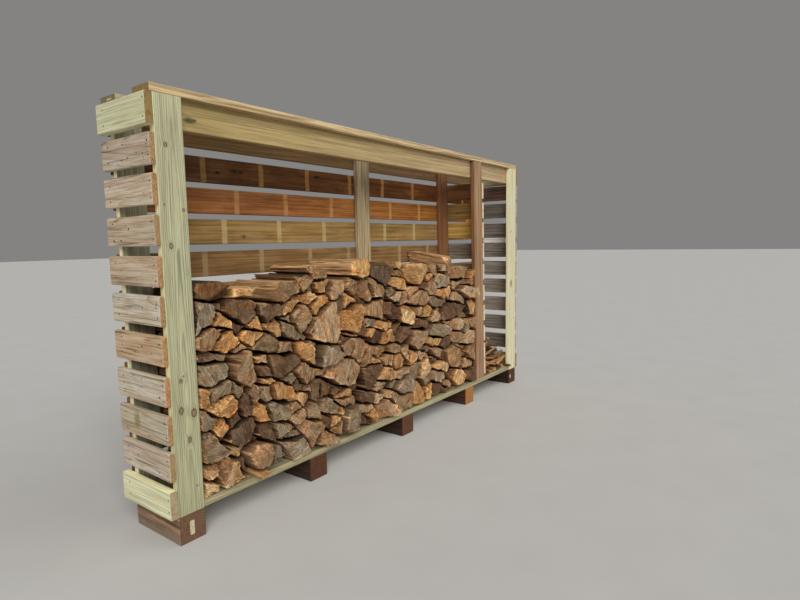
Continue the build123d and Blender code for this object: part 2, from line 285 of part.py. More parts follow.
        (2, 376, [(1184.5, 997.3), (1306, 1029.9), (1292.7, 1058.3), (1224.3, 1106.5), (1220.3, 1107.4), (1198.8, 1078.6)]),
        (6, 340, [(1323.7, 1081.5), (1416.2, 1003.7), (1427.9, 1006.3), (1450.6, 1019.4), (1465.3, 1038.2), (1427.6, 1178.8), (1392, 1184.1), (1331.3, 1167.6)]),
        (-1, 346, [(1223.8, 1138.1), (1234.7, 1101.3), (1291.5, 1061.4), (1322.2, 1082.3), (1329.6, 1166.8), (1327.7, 1172.6), (1237.3, 1196.8)]),
        (-25, 368, [(1222.7, 1202.6), (1338.2, 1171.4), (1386.6, 1184.3), (1420.6, 1212.6), (1422.4, 1262.3), (1398.8, 1307.8), (1387.5, 1311.5), (1288.1, 1311.5), (1245.3, 1300.8), (1225.2, 1264.5)]),
    ],
    5: [
        (-2, 346, [(1685.9, 266.9), (1726.7, 208.3), (1747.1, 185.9), (1762.5, 179.1), (1882.2, 179.1), (1905.6, 200.2), (1905.6, 283.9), (1904.1, 292.4), (1857.2, 309.7), (1730.7, 320.7)]),
        (-30, 346, [(1480.6, 299.2), (1489.5, 198.4), (1526.5, 179.1), (1727.8, 179.1), (1732.7, 181.3), (1725.7, 207), (1683.1, 267.9), (1570.5, 332.9), (1557.2, 332.7), (1483.3, 305.8)]),
        (2, 382, [(1442.9, 325.9), (1446.8, 319.1), (1479.4, 306.1), (1558.6, 334.9), (1562.5, 337.1), (1584.6, 374.5), (1477.5, 393.4), (1459, 386.1)]),
        (-8, 346, [(1565.5, 338.2), (1684.9, 268.7), (1730.1, 322.6), (1655.1, 375.2), (1624.9, 383.3), (1618, 384.2), (1587.2, 375.9)]),
        (-35, 346, [(1660.9, 373.1), (1733.7, 322.1), (1847.1, 312.2), (1892, 312.7), (1903.1, 390.5), (1857.5, 455.6), (1730.1, 421.5)]),
        (-4, 340, [(1622.9, 388), (1624.2, 385.1), (1661.2, 375.2), (1726.4, 420.9), (1689.9, 441.9), (1668.3, 445), (1657.9, 442.2), (1625.7, 420)]),
        (5, 382, [(1445.7, 453), (1455.1, 432.8), (1477.2, 395.1), (1583, 376.4), (1621.2, 386.7), (1624, 418), (1620.2, 439.5), (1480.2, 477.1)]),
        (-15, 346, [(1684.9, 450.2), (1692.2, 442.5), (1727, 422.3), (1856.9, 457.2), (1859.4, 485.5), (1859.4, 498.9), (1791.7, 517), (1718.7, 497.4), (1687.8, 484)]),
        (-15, 346, [(1481.2, 478.5), (1629.1, 438.8), (1668.1, 446.6), (1683.3, 450.7), (1686.1, 482.8), (1679.6, 502.1), (1638.5, 544.2), (1573.3, 555.7)]),
        (35, 382, [(1641.1, 543.9), (1694.6, 487.8), (1716.3, 497.3), (1682.4, 522.2)]),
        (-2, 346, [(1669.8, 559.9), (1673.7, 529.6), (1716.1, 498.4), (1784, 516.6), (1805.1, 569.5), (1766, 616.1), (1761.3, 617.7), (1751.4, 618.5), (1680.1, 618.5)]),
        (-1, 376, [(1542.4, 610.7), (1573.4, 557.3), (1652, 544.2), (1668.3, 560.6), (1678.9, 620.6), (1639.9, 634.8), (1606.2, 638.8)]),
        (3, 376, [(1457, 596.1), (1552.8, 589.4), (1541.7, 608.6), (1508.6, 624.2), (1495.6, 623.1)]),
        (-6, 346, [(1766.8, 617.6), (1808.1, 568.5), (1851.8, 531.8), (1872.8, 650.5), (1867.2, 665.7), (1825.2, 662), (1768.9, 649.2), (1767.6, 644.3)]),
        (60, 346, [(1545.1, 637.5), (1579.7, 628), (1626.6, 648.7), (1628, 650.7), (1607.9, 678.1)]),
        (-7, 346, [(1595.3, 697.8), (1638.3, 637.1), (1684.9, 620.1), (1757.9, 620.1), (1771.9, 666.9), (1768.1, 674.1), (1698, 706.8)]),
        (-1, 352, [(1452.7, 665.7), (1493.8, 624.5), (1510.5, 626), (1546.2, 639.1), (1588.3, 666.3), (1589.2, 695.2), (1536.1, 719.9), (1478, 719.9)]),
        (-1, 346, [(1700.6, 707.3), (1773.5, 673.3), (1820.3, 663.2), (1869.9, 667.5), (1896.9, 741.7), (1898.7, 757.9), (1889.5, 794.6), (1788.5, 821.7), (1777.4, 822.2), (1704.3, 749.1)]),
        (-1, 352, [(1538.7, 720.5), (1585.7, 698.6), (1699.1, 708.5), (1702.7, 748.8), (1669.9, 805.5), (1638.8, 812.7), (1579.5, 791.1)]),
        (5, 382, [(1423, 753.5), (1478.5, 721.5), (1537.5, 721.5), (1578.9, 793.3), (1491.1, 834.1), (1475.5, 822.9), (1423.6, 771)]),
        (9, 346, [(1655.8, 842.1), (1670, 808.5), (1703.5, 750.6), (1777, 824.1), (1776.8, 833.7)]),
        (-14, 352, [(1477.3, 860.4), (1499.3, 832.7), (1582.5, 793.9), (1643.1, 816.1), (1656.4, 851.8), (1531.4, 884.8), (1478.8, 868.9)]),
        (45, 346, [(1700.2, 844.6), (1712.2, 838.9), (1745, 836.7), (1764.6, 847.7), (1763.9, 848.9), (1739.7, 857), (1728.7, 857.8)]),
        (35, 368, [(1655.3, 846.4), (1660, 842.6), (1688.6, 840.7), (1727, 857.9), (1661.3, 862.6)]),
        (35, 340, [(1590.9, 869.9), (1631.2, 859.7), (1659.6, 872.4), (1604.9, 911.2), (1595.7, 897.6)]),
        (-5, 346, [(1598, 917.1), (1675.2, 862.4), (1759.4, 856.3), (1759.4, 937.4), (1660.1, 995.9), (1606.3, 1012.1)]),
        (-3, 382, [(1367.7, 969.6), (1383.8, 927.6), (1435.7, 912.5), (1503.7, 894.3), (1591.5, 879.9), (1595.7, 909.7), (1604.5, 1009.7), (1574.2, 1034.1), (1461.1, 1023.2)]),
        (60, 346, [(1716.2, 963.8), (1746.2, 946.2), (1763, 942.9), (1763.9, 974.6), (1755.6, 979.4), (1717.8, 983.1)]),
        (9, 346, [(1764.1, 956), (1787.5, 955.7), (1872.9, 964.9), (1872.9, 987.8), (1866.3, 1062.6), (1828.9, 1056), (1781.3, 999.3), (1764.7, 975.6)]),
        (1, 346, [(1649.9, 1015.9), (1702.8, 985.4), (1765.2, 979.2), (1777.5, 996.7), (1812.1, 1056.7), (1736.4, 1070), (1722.9, 1063.8), (1665.3, 1030.5)]),
        (25, 368, [(1569.2, 1039.2), (1595.9, 1017.6), (1618.9, 1009.1), (1611.6, 1037.8), (1589.1, 1059.5), (1572.1, 1045.5)]),
        (-7, 346, [(1784.5, 1005.7), (1827.1, 1056.4), (1813.8, 1056.4)]),
        (-4, 340, [(1577.4, 1071.8), (1628, 1023.6), (1652, 1024.6), (1717.6, 1062.5), (1723.9, 1071.7), (1672.5, 1102.5), (1624.9, 1098)]),
        (-15, 346, [(1428.8, 1180.3), (1466.5, 1039.7), (1514.9, 1030.5), (1557.1, 1034.2), (1580.4, 1053.3), (1567.9, 1102.9), (1559.2, 1118), (1446.3, 1183.2)]),
        (45, 376, [(1566.9, 1110), (1576.5, 1072.2), (1606.1, 1088.6), (1601.6, 1096.2), (1579.8, 1108.5)]),
        (4, 346, [(1657.7, 1132.2), (1696.6, 1094.7), (1745.3, 1070), (1813.9, 1058), (1830.6, 1058), (1865.2, 1064), (1919.4, 1095.3), (1865.1, 1140.9), (1844.9, 1146.3), (1742.3, 1166.5), (1675.7, 1157.8)]),
        (60, 346, [(1636.1, 1114.2), (1638.5, 1100.4), (1676.9, 1103.7), (1676, 1114.1), (1662.4, 1127.6), (1653.8, 1127.6)]),
        (35, 346, [(1739.9, 1168.5), (1816.3, 1152.1), (1848.7, 1169), (1832.6, 1201.4), (1808.3, 1211.8), (1761.2, 1218.4), (1740.9, 1200.8)]),
        (1, 376, [(1426.9, 1196.2), (1608.2, 1093.3), (1653.4, 1128.8), (1690.6, 1183), (1713.6, 1236.5), (1561.6, 1264.5), (1429.4, 1264.5)]),
        (40, 346, [(1716, 1271.5), (1738.5, 1222.4), (1830.6, 1209.4), (1862.3, 1254.6), (1863.9, 1258.1), (1819.3, 1271.5)]),
    ],
    6: [
        (60, 368, [(2035, 178.3), (2073.2, 178.3), (2075.9, 188.3), (2067.9, 212.2), (2054.3, 207.9)]),
        (-2, 382, [(2059.1, 255.1), (2077.7, 181.4), (2137.3, 187), (2159.8, 226.5), (2159.8, 319.9), (2154.8, 324), (2075.1, 302.7)]),
        (-7, 352, [(1907.2, 197.5), (1968.8, 179.1), (2034.6, 179.1), (2056.6, 214.4), (2050.2, 308.2), (2024, 361.4), (1963.7, 378.1), (1924.2, 371.2), (1908.3, 315.2), (1907.2, 272.7)]),
        (45, 382, [(2050.1, 322.1), (2053.2, 276.8), (2065.6, 276.9), (2072.2, 296.5), (2072.3, 302.9), (2053.8, 337.4)]),
        (6, 360, [(2035.1, 373.9), (2072.8, 303.7), (2152.1, 325), (2119, 396)]),
        (45, 376, [(1895.7, 331.8), (1902.5, 297.7), (1923.5, 371.9), (1905.5, 387.8), (1900.2, 364.9)]),
        (2, 346, [(1858.5, 457), (1907.3, 387.3), (1923.8, 372.7), (1964.3, 379.9), (2005.8, 494.1), (1967, 524.5), (1861.1, 486.7)]),
        (-17, 360, [(1966.3, 380.9), (1973.7, 377.1), (2008.4, 367.8), (2083.9, 394.7), (2150.3, 432.2), (2160.1, 443.8), (2199.7, 496.5), (2187.7, 541.3), (2129.8, 546.4), (2018.4, 505.8), (2009.2, 498.7)]),
        (45, 346, [(1789.4, 527.9), (1796.9, 516.9), (1810.7, 512.2), (1827.1, 509.1), (1866.8, 507.4), (1865.1, 511.3), (1848, 534), (1816.5, 560.3), (1802, 559.5)]),
        (-7, 346, [(1854.4, 537), (1874.1, 493.2), (1954.1, 522.3), (1973.6, 551.3), (1973.2, 594.4), (1874.5, 651.3)]),
        (4, 360, [(1975.2, 544.4), (2008.3, 503.9), (2116.6, 543.3), (2092.1, 565.1), (1998.1, 598.8), (1975.2, 594.7)]),
        (45, 382, [(2106.1, 553.7), (2108, 552), (2122, 547.9), (2171.8, 544.3), (2183.1, 563.2), (2165.6, 575), (2125.9, 567.6)]),
        (6, 346, [(2007.7, 604.5), (2009.5, 596.9), (2100.6, 563.7), (2167.9, 576.3), (2160.2, 593.9), (2120.6, 612.3), (2023.3, 617.5)]),
        (45, 346, [(2032.3, 628.4), (2034.5, 617.7), (2073.7, 616.6), (2086.7, 629.7), (2057, 643.7), (2049.4, 643.5)]),
        (-14, 346, [(1869.9, 663), (1873.2, 653.9), (1973.5, 596.1), (2000.9, 600.9), (2061.2, 655.7), (2102.2, 696.7), (2113.1, 737.5), (1948.9, 766.4), (1918.1, 766.6), (1894.5, 730.4)]),
        (25, 368, [(1891.8, 789.1), (1897.1, 767.6), (1943.8, 767.3), (1946.9, 768.6), (1944.8, 786), (1941.5, 792.1), (1897.9, 794.5)]),
        (5, 360, [(1938.2, 799.8), (1956.2, 766.8), (2116.4, 738.5), (2152.8, 781.8), (2118.3, 815.9), (2029.7, 839.7), (1999.7, 842.1), (1952.4, 824.6)]),
        (3, 346, [(2033.3, 840.4), (2120.7, 817), (2141.7, 820.9), (2193.5, 882.2), (2189.8, 902.9), (2148.3, 926.9), (2114.7, 939.9), (2055.6, 904.1), (2037.8, 855.4)]),
        (-3, 346, [(1761, 855.7), (1770, 839.5), (1797.8, 820.9), (1892, 795.6), (1932.7, 793.6), (1967.8, 856.3), (1931, 935.6), (1924, 940.7), (1878.1, 962.1), (1800.6, 955.3), (1761, 938.1)]),
        (1, 376, [(1932.9, 935.3), (1968.1, 859.9), (1990.2, 848.7), (2038.8, 862.7), (2052.6, 900.8), (2048.5, 925.2)]),
        (35, 382, [(2103.2, 945.2), (2145.7, 928.8), (2143.5, 946.4), (2136.2, 967.5), (2131.2, 969.4)]),
        (-9, 346, [(1874.5, 965.7), (1936.4, 936.7), (2049.7, 926.7), (2085.6, 931.1), (2124.5, 964.7), (2121.3, 995.1), (2098.5, 1034.6), (2033.2, 1052.1), (2008.6, 1055.3), (1874.5, 992.8)]),
        (2, 346, [(1867.8, 1063.7), (1873.9, 994.3), (2001.9, 1054), (2004.4, 1072.4), (1971.4, 1082.7), (1923.1, 1095.6)]),
        (9, 340, [(2001.4, 1077.7), (2025.1, 1055.9), (2098.4, 1037.2), (2116.5, 1104.8), (2097.8, 1108.1), (2058.5, 1111.5)]),
        (45, 352, [(2040.2, 1113.9), (2080.7, 1110.4), (2087.8, 1120.8), (2086, 1127.2), (2068.4, 1159), (2040.7, 1122.9)]),
        (-2, 352, [(2078.8, 1141.9), (2096.5, 1110), (2118.5, 1106.1), (2177.8, 1133.8), (2186.6, 1138.9), (2172.9, 1167.5), (2110.5, 1156.5)]),
        (-17, 346, [(1830.6, 1206.6), (1856.1, 1158.3), (1874.3, 1135.2), (1917.9, 1098.6), (1985.2, 1080.6), (2005.4, 1090.5), (2051.4, 1138.2), (2102.7, 1205.1), (2079.8, 1239.2), (2020.9, 1252.3), (1862.6, 1252.3)]),
        (20, 382, [(2109.4, 1157.9), (2172.6, 1169.1), (2172.6, 1221), (2123.8, 1221)]),
    ],
    7: [
        (60, 340, [(2220.3, 191.2), (2263.3, 178.3), (2308, 178.3), (2308.2, 186.2), (2298.6, 202.8)]),
        (25, 382, [(2396.9, 186.6), (2403.1, 178.3), (2426.8, 178.3), (2431.8, 183.5), (2435.1, 193.3), (2435.6, 205.9), (2409.3, 209.2)]),
        (45, 360, [(2429.2, 178.3), (2498.8, 178.3), (2517.2, 185.3), (2476.4, 224.9), (2458.1, 231.9)]),
        (35, 340, [(2133.3, 178.3), (2191.2, 178.3), (2161.7, 223.6), (2157, 220)]),
        (5, 376, [(2293.9, 212.6), (2311.7, 181.8), (2345.4, 179.1), (2391, 179.1), (2408.6, 209.7), (2324.7, 248.8), (2310.2, 247.5)]),
        (-3, 382, [(2301.6, 280.8), (2328.5, 248.8), (2404.9, 213.2), (2412.3, 210.5), (2443, 205.5), (2460.8, 238.7), (2422.6, 284.2), (2375.7, 292.5), (2304.4, 281.9)]),
        (-1, 346, [(2161.4, 225.6), (2186.5, 186.9), (2287.1, 201.9), (2312.2, 255.7), (2286.9, 282.7), (2169.7, 314.1), (2161.4, 315.1)]),
        (6, 352, [(2348, 345.7), (2362.6, 301.3), (2376, 294.1), (2421.8, 286), (2508.3, 358.9), (2462.8, 366.9), (2426.8, 371.6)]),
        (1, 346, [(2117.6, 405.4), (2118.8, 400.2), (2152.4, 328.2), (2161.5, 320.6), (2170.1, 315.6), (2298.2, 281.3), (2358.4, 306.9), (2337.5, 358.7), (2231.7, 397.1), (2191.3, 409)]),
        (45, 340, [(2364.5, 352.9), (2419.7, 370.1), (2430.4, 374.9), (2383.7, 398.3), (2381, 395)]),
        (-22, 340, [(2161.9, 443.5), (2227.6, 400.3), (2341.8, 358.8), (2371, 371.7), (2382.9, 402.2), (2371, 434.7), (2300.8, 467.5), (2164.3, 446.3)]),
        (45, 368, [(2133.7, 421.9), (2140.7, 408.4), (2179.1, 409.2), (2195.4, 420.6), (2168.2, 438.5), (2164.7, 439.3)]),
        (25, 352, [(2175.1, 448.8), (2242.4, 459.9), (2288.6, 477.1), (2280.4, 482.8), (2209.8, 508.6), (2180.6, 469.7)]),
        (11, 346, [(2300.4, 469.4), (2369.8, 437.1), (2352.2, 536.7), (2326.3, 541.2), (2307.2, 508.1)]),
        (3, 352, [(2171.8, 580.8), (2223.7, 504.4), (2288.4, 480.8), (2303.4, 504.7), (2326, 543.8), (2271.9, 588.9)]),
        (-2, 352, [(2282.2, 582.1), (2339.4, 547.5), (2358.6, 550.2), (2437.6, 571.4), (2444.8, 577.8), (2444.8, 653.1), (2441.5, 661.8), (2336.5, 643.6), (2311, 633.9), (2291.5, 600.1)]),
        (0, 368, [(2053.8, 646.1), (2165.8, 593.2), (2262.9, 589.5), (2293.4, 606.5), (2309.1, 633.8), (2300.2, 641.7), (2102.4, 694.7)]),
        (45, 340, [(2453, 679), (2456, 667), (2493.1, 666.1), (2490.5, 689.2), (2486, 699.9)]),
        (-22, 376, [(2103.9, 697), (2129, 689.2), (2310.3, 640.6), (2407, 657.6), (2451.4, 682.3), (2446.7, 701.1), (2381.2, 747), (2267.2, 769.7), (2153, 779.7), (2113.4, 732.5)]),
        (7, 368, [(2379.7, 767.7), (2387.9, 744.2), (2453.4, 698.4), (2470.2, 691), (2487.4, 702), (2487.4, 767.7)]),
        (25, 382, [(2264, 777.4), (2277.4, 768.5), (2316.5, 760.7), (2316.1, 776.2), (2292.9, 791.7), (2287.3, 791.5)]),
        (-7, 368, [(2139.2, 797.7), (2155.8, 781), (2253.6, 772.5), (2290.6, 794.4), (2300.5, 821.5), (2268.2, 865.7), (2196.9, 883.8), (2146.8, 824.1)]),
        (-5, 352, [(2291.9, 793.3), (2325.9, 770.6), (2474.5, 769.3), (2490.5, 770.7), (2574, 785.4), (2617.5, 805), (2704.3, 861.6), (2694.8, 865.1), (2496.7, 916.3), (2419.2, 914.9), (2338.1, 880.7), (2301.9, 820.7)]),
        (35, 360, [(2264.3, 883.9), (2271.6, 862.8), (2292.1, 834.2), (2310.6, 836.7), (2331.7, 871.8), (2321.9, 888.2)]),
        (7, 382, [(2127.3, 991.3), (2154.2, 925.4), (2196.8, 900.7), (2242.8, 883.2), (2350.7, 891.2), (2366, 936.4), (2216.4, 990.9)]),
        (35, 360, [(2356.3, 905.3), (2373.4, 896.5), (2431.4, 920.9), (2392.1, 956), (2376.1, 959.5), (2373.5, 956.2)]),
        (-5, 376, [(2217.7, 996.7), (2218.7, 991.8), (2361.2, 939.9), (2378.5, 969.7), (2341.4, 1033.9), (2261.3, 1033.9), (2246.7, 1025.8)]),
        (3, 346, [(2345.1, 1030.7), (2382.8, 965.5), (2415.8, 935.9), (2441.1, 964.7), (2463.1, 996.1), (2465.2, 1008.2), (2442.9, 1056.1), (2435.6, 1055)]),
        (-4, 376, [(2099.7, 1035.7), (2122.4, 996.3), (2136, 992.9), (2202.4, 992.9), (2219.4, 1000.7), (2248.5, 1029.8), (2252.7, 1045.4), (2239, 1123.3), (2188.3, 1136.9), (2118, 1104.1)]),
        (-18, 346, [(2240.3, 1125), (2254.4, 1044.8), (2267.1, 1035.5), (2345.9, 1035.5), (2377.3, 1041), (2441.8, 1058.3), (2463.2, 1089.9), (2430.9, 1145.8), (2288.2, 1158.6)]),
        (9, 346, [(2174.2, 1169.3), (2189.6, 1138.2), (2237.9, 1125.3), (2286.4, 1159.2), (2259, 1236.1), (2175.7, 1236.1), (2174.2, 1223.9)]),
        (-7, 382, [(2264, 1232), (2290, 1167), (2380, 1163), (2359, 1229)]),
    ],
    8: [
        (45, 376, [(2707.4, 178.3), (2774.2, 178.3), (2722.7, 203.2), (2717.6, 200.4)]),
        (25, 352, [(2512.5, 178.3), (2608.7, 178.3), (2610.2, 198), (2593.4, 203.8), (2556.8, 200.2)]),
        (35, 340, [(2609.6, 178.3), (2706.3, 178.3), (2718.7, 205.1), (2646.6, 240.2), (2645.3, 239.6), (2614.2, 206.2), (2611.3, 202.8)]),
        (-14, 346, [(2659.3, 301.5), (2675, 227.3), (2774.5, 179.1), (2867.7, 179.1), (2865, 296.9), (2859, 304.6)]),
        (-20, 376, [(2423.7, 285.5), (2461.1, 240.9), (2506.4, 196.9), (2613.2, 206.3), (2665.3, 262.3), (2663.2, 271.9), (2605.3, 333.2), (2508.5, 356.7)]),
        (35, 368, [(2811.3, 314), (2824.5, 304.8), (2859.7, 305.4), (2864.3, 316.2), (2864.3, 347.2), (2850.4, 358.5), (2844.2, 361.1)]),
        (25, 376, [(2591.2, 355.3), (2611.7, 327.6), (2635.9, 301.9), (2663.6, 302.3), (2680, 348.4), (2679.1, 350.9)]),
        (25, 360, [(2669.7, 316.7), (2718.7, 304.9), (2803.7, 304.8), (2829.3, 341.3), (2804, 377.2), (2721.8, 412.2), (2705.2, 393.9), (2680.1, 345.7)]),
        (45, 340, [(2716.3, 415.5), (2764.2, 395.6), (2758.2, 412.1), (2732.9, 447.5)]),
        (4, 382, [(2732.4, 449.7), (2774.6, 391), (2863.7, 353.8), (2860, 517.6), (2780.6, 511.8), (2748.4, 507.9)]),
        (-20, 376, [(2354, 535.6), (2370.9, 439.8), (2386.1, 398), (2435, 373.4), (2507.9, 360.6), (2682, 351.5), (2725.9, 436.1), (2695.5, 479.1), (2623.8, 511.2), (2454.7, 564.3), (2429.2, 567.1), (2355.9, 547.8)]),
        (35, 376, [(2641.9, 528.4), (2668.8, 491.5), (2735.1, 463.1), (2744.4, 497.2), (2743.7, 510.2), (2695.9, 522.3)]),
        (25, 340, [(2524.1, 543.4), (2585.2, 524.2), (2628.8, 520.8), (2612, 544.9), (2542.2, 565.9), (2535.8, 564.5)]),
        (-1, 340, [(2587.6, 553), (2724.4, 515.9), (2804.9, 515.1), (2859.4, 519.1), (2857.8, 611.6), (2837.9, 636.5), (2780.2, 649.6), (2740.9, 652.1), (2647.3, 615), (2596, 573)]),
        (-12, 376, [(2446.4, 578.1), (2513, 562.4), (2592.5, 575.6), (2603.6, 581.4), (2647.5, 617.3), (2631, 635.5), (2601.5, 652.4), (2534.7, 664.1), (2447.9, 666.4), (2446.4, 657.4)]),
        (-14, 340, [(2633, 635.7), (2649.5, 617.7), (2740.6, 653.8), (2737.6, 678.8), (2711.8, 738.1), (2692.4, 734.7), (2638.5, 668.5)]),
        (-17, 346, [(2711.4, 750.9), (2713.6, 738.5), (2743.8, 669.2), (2782.4, 650.7), (2840, 637.7), (2857.1, 642.1), (2854.7, 747.5)]),
        (-2, 360, [(2489, 709.8), (2492.7, 676.8), (2537.4, 665.3), (2597.4, 654.7), (2637.3, 669.5), (2691.5, 736.4), (2584, 783.3), (2558.5, 781.1), (2489, 768.8)]),
        (35, 368, [(2734.6, 752), (2782.9, 750), (2811.7, 757.2), (2745.7, 777.9)]),
        (35, 360, [(2817.7, 748.5), (2843, 749), (2854.8, 751.6), (2853.2, 804), (2830.5, 781.4)]),
        (35, 376, [(2607.7, 796.9), (2626.4, 765.7), (2655.2, 753.1), (2731.3, 751.3), (2733.8, 752.4), (2747.6, 784.8), (2715.5, 854.9), (2672.2, 840.4)]),
        (-4, 368, [(2694, 904.5), (2752.4, 776.7), (2819.3, 755.6), (2846, 829.7), (2851.8, 872), (2851, 909.1), (2796.8, 909.1)]),
        (45, 382, [(2668.6, 899.5), (2676.5, 870.2), (2698.4, 865.1), (2708.5, 865.9), (2704.2, 880.6), (2696, 896.8), (2681, 918.1), (2679.2, 918.3)]),
        (-23, 368, [(2442.3, 936.8), (2471.7, 924.6), (2663.7, 874), (2673.9, 876.3), (2661.5, 922.3), (2517, 1004.1), (2482.1, 1001.1), (2466.2, 997.8), (2442.7, 964.2)]),
        (-55, 368, [(2521.3, 1003.5), (2668.5, 920.6), (2740.8, 910.7), (2804.6, 910.7), (2846.1, 948.3), (2825.3, 1011.4), (2681.1, 1033.9), (2623.6, 1040.8)]),
        (-2, 360, [(2443.9, 1058.6), (2466.8, 1008.6), (2491, 1003.5), (2524.5, 1006.4), (2616.5, 1039.9), (2639.6, 1069.7), (2652.7, 1088.8), (2476.5, 1088.8), (2462.3, 1084.8)]),
        (-1, 340, [(2633.7, 1058.5), (2666.3, 1037.8), (2812.8, 1015), (2847.7, 1039.6), (2815.8, 1095.8), (2767.8, 1098.6), (2674.4, 1091.3), (2649.2, 1079.1)]),
        (-60, 368, [(2655.5, 1094.5), (2671.9, 1092.7), (2772.4, 1100.5), (2808.5, 1125.8), (2735.5, 1174.3), (2706.7, 1174.3)]),
        (-15, 382, [(2431.3, 1148.2), (2463.4, 1092.6), (2470.7, 1090.4), (2650.8, 1090.4), (2711.9, 1186.9), (2611.8, 1209.6), (2479.1, 1209.6), (2432.9, 1163.3)]),
    ],
}

for i, logs in LOGS.items():
    nodes[f"firewood_stack_{i}"] = [prism(outline, y0, y1) for y0, y1, outline in logs]

# one log on top of the seventh stack lies with its back end higher
TOP_LOG = [(2364, 1277), (2363, 1232), (2387, 1161), (2420, 1157), (2430, 1164), (2478, 1213), (2501, 1277)]
nodes["firewood_stack_7"].append(prism(TOP_LOG, -10, 374, rise=58))

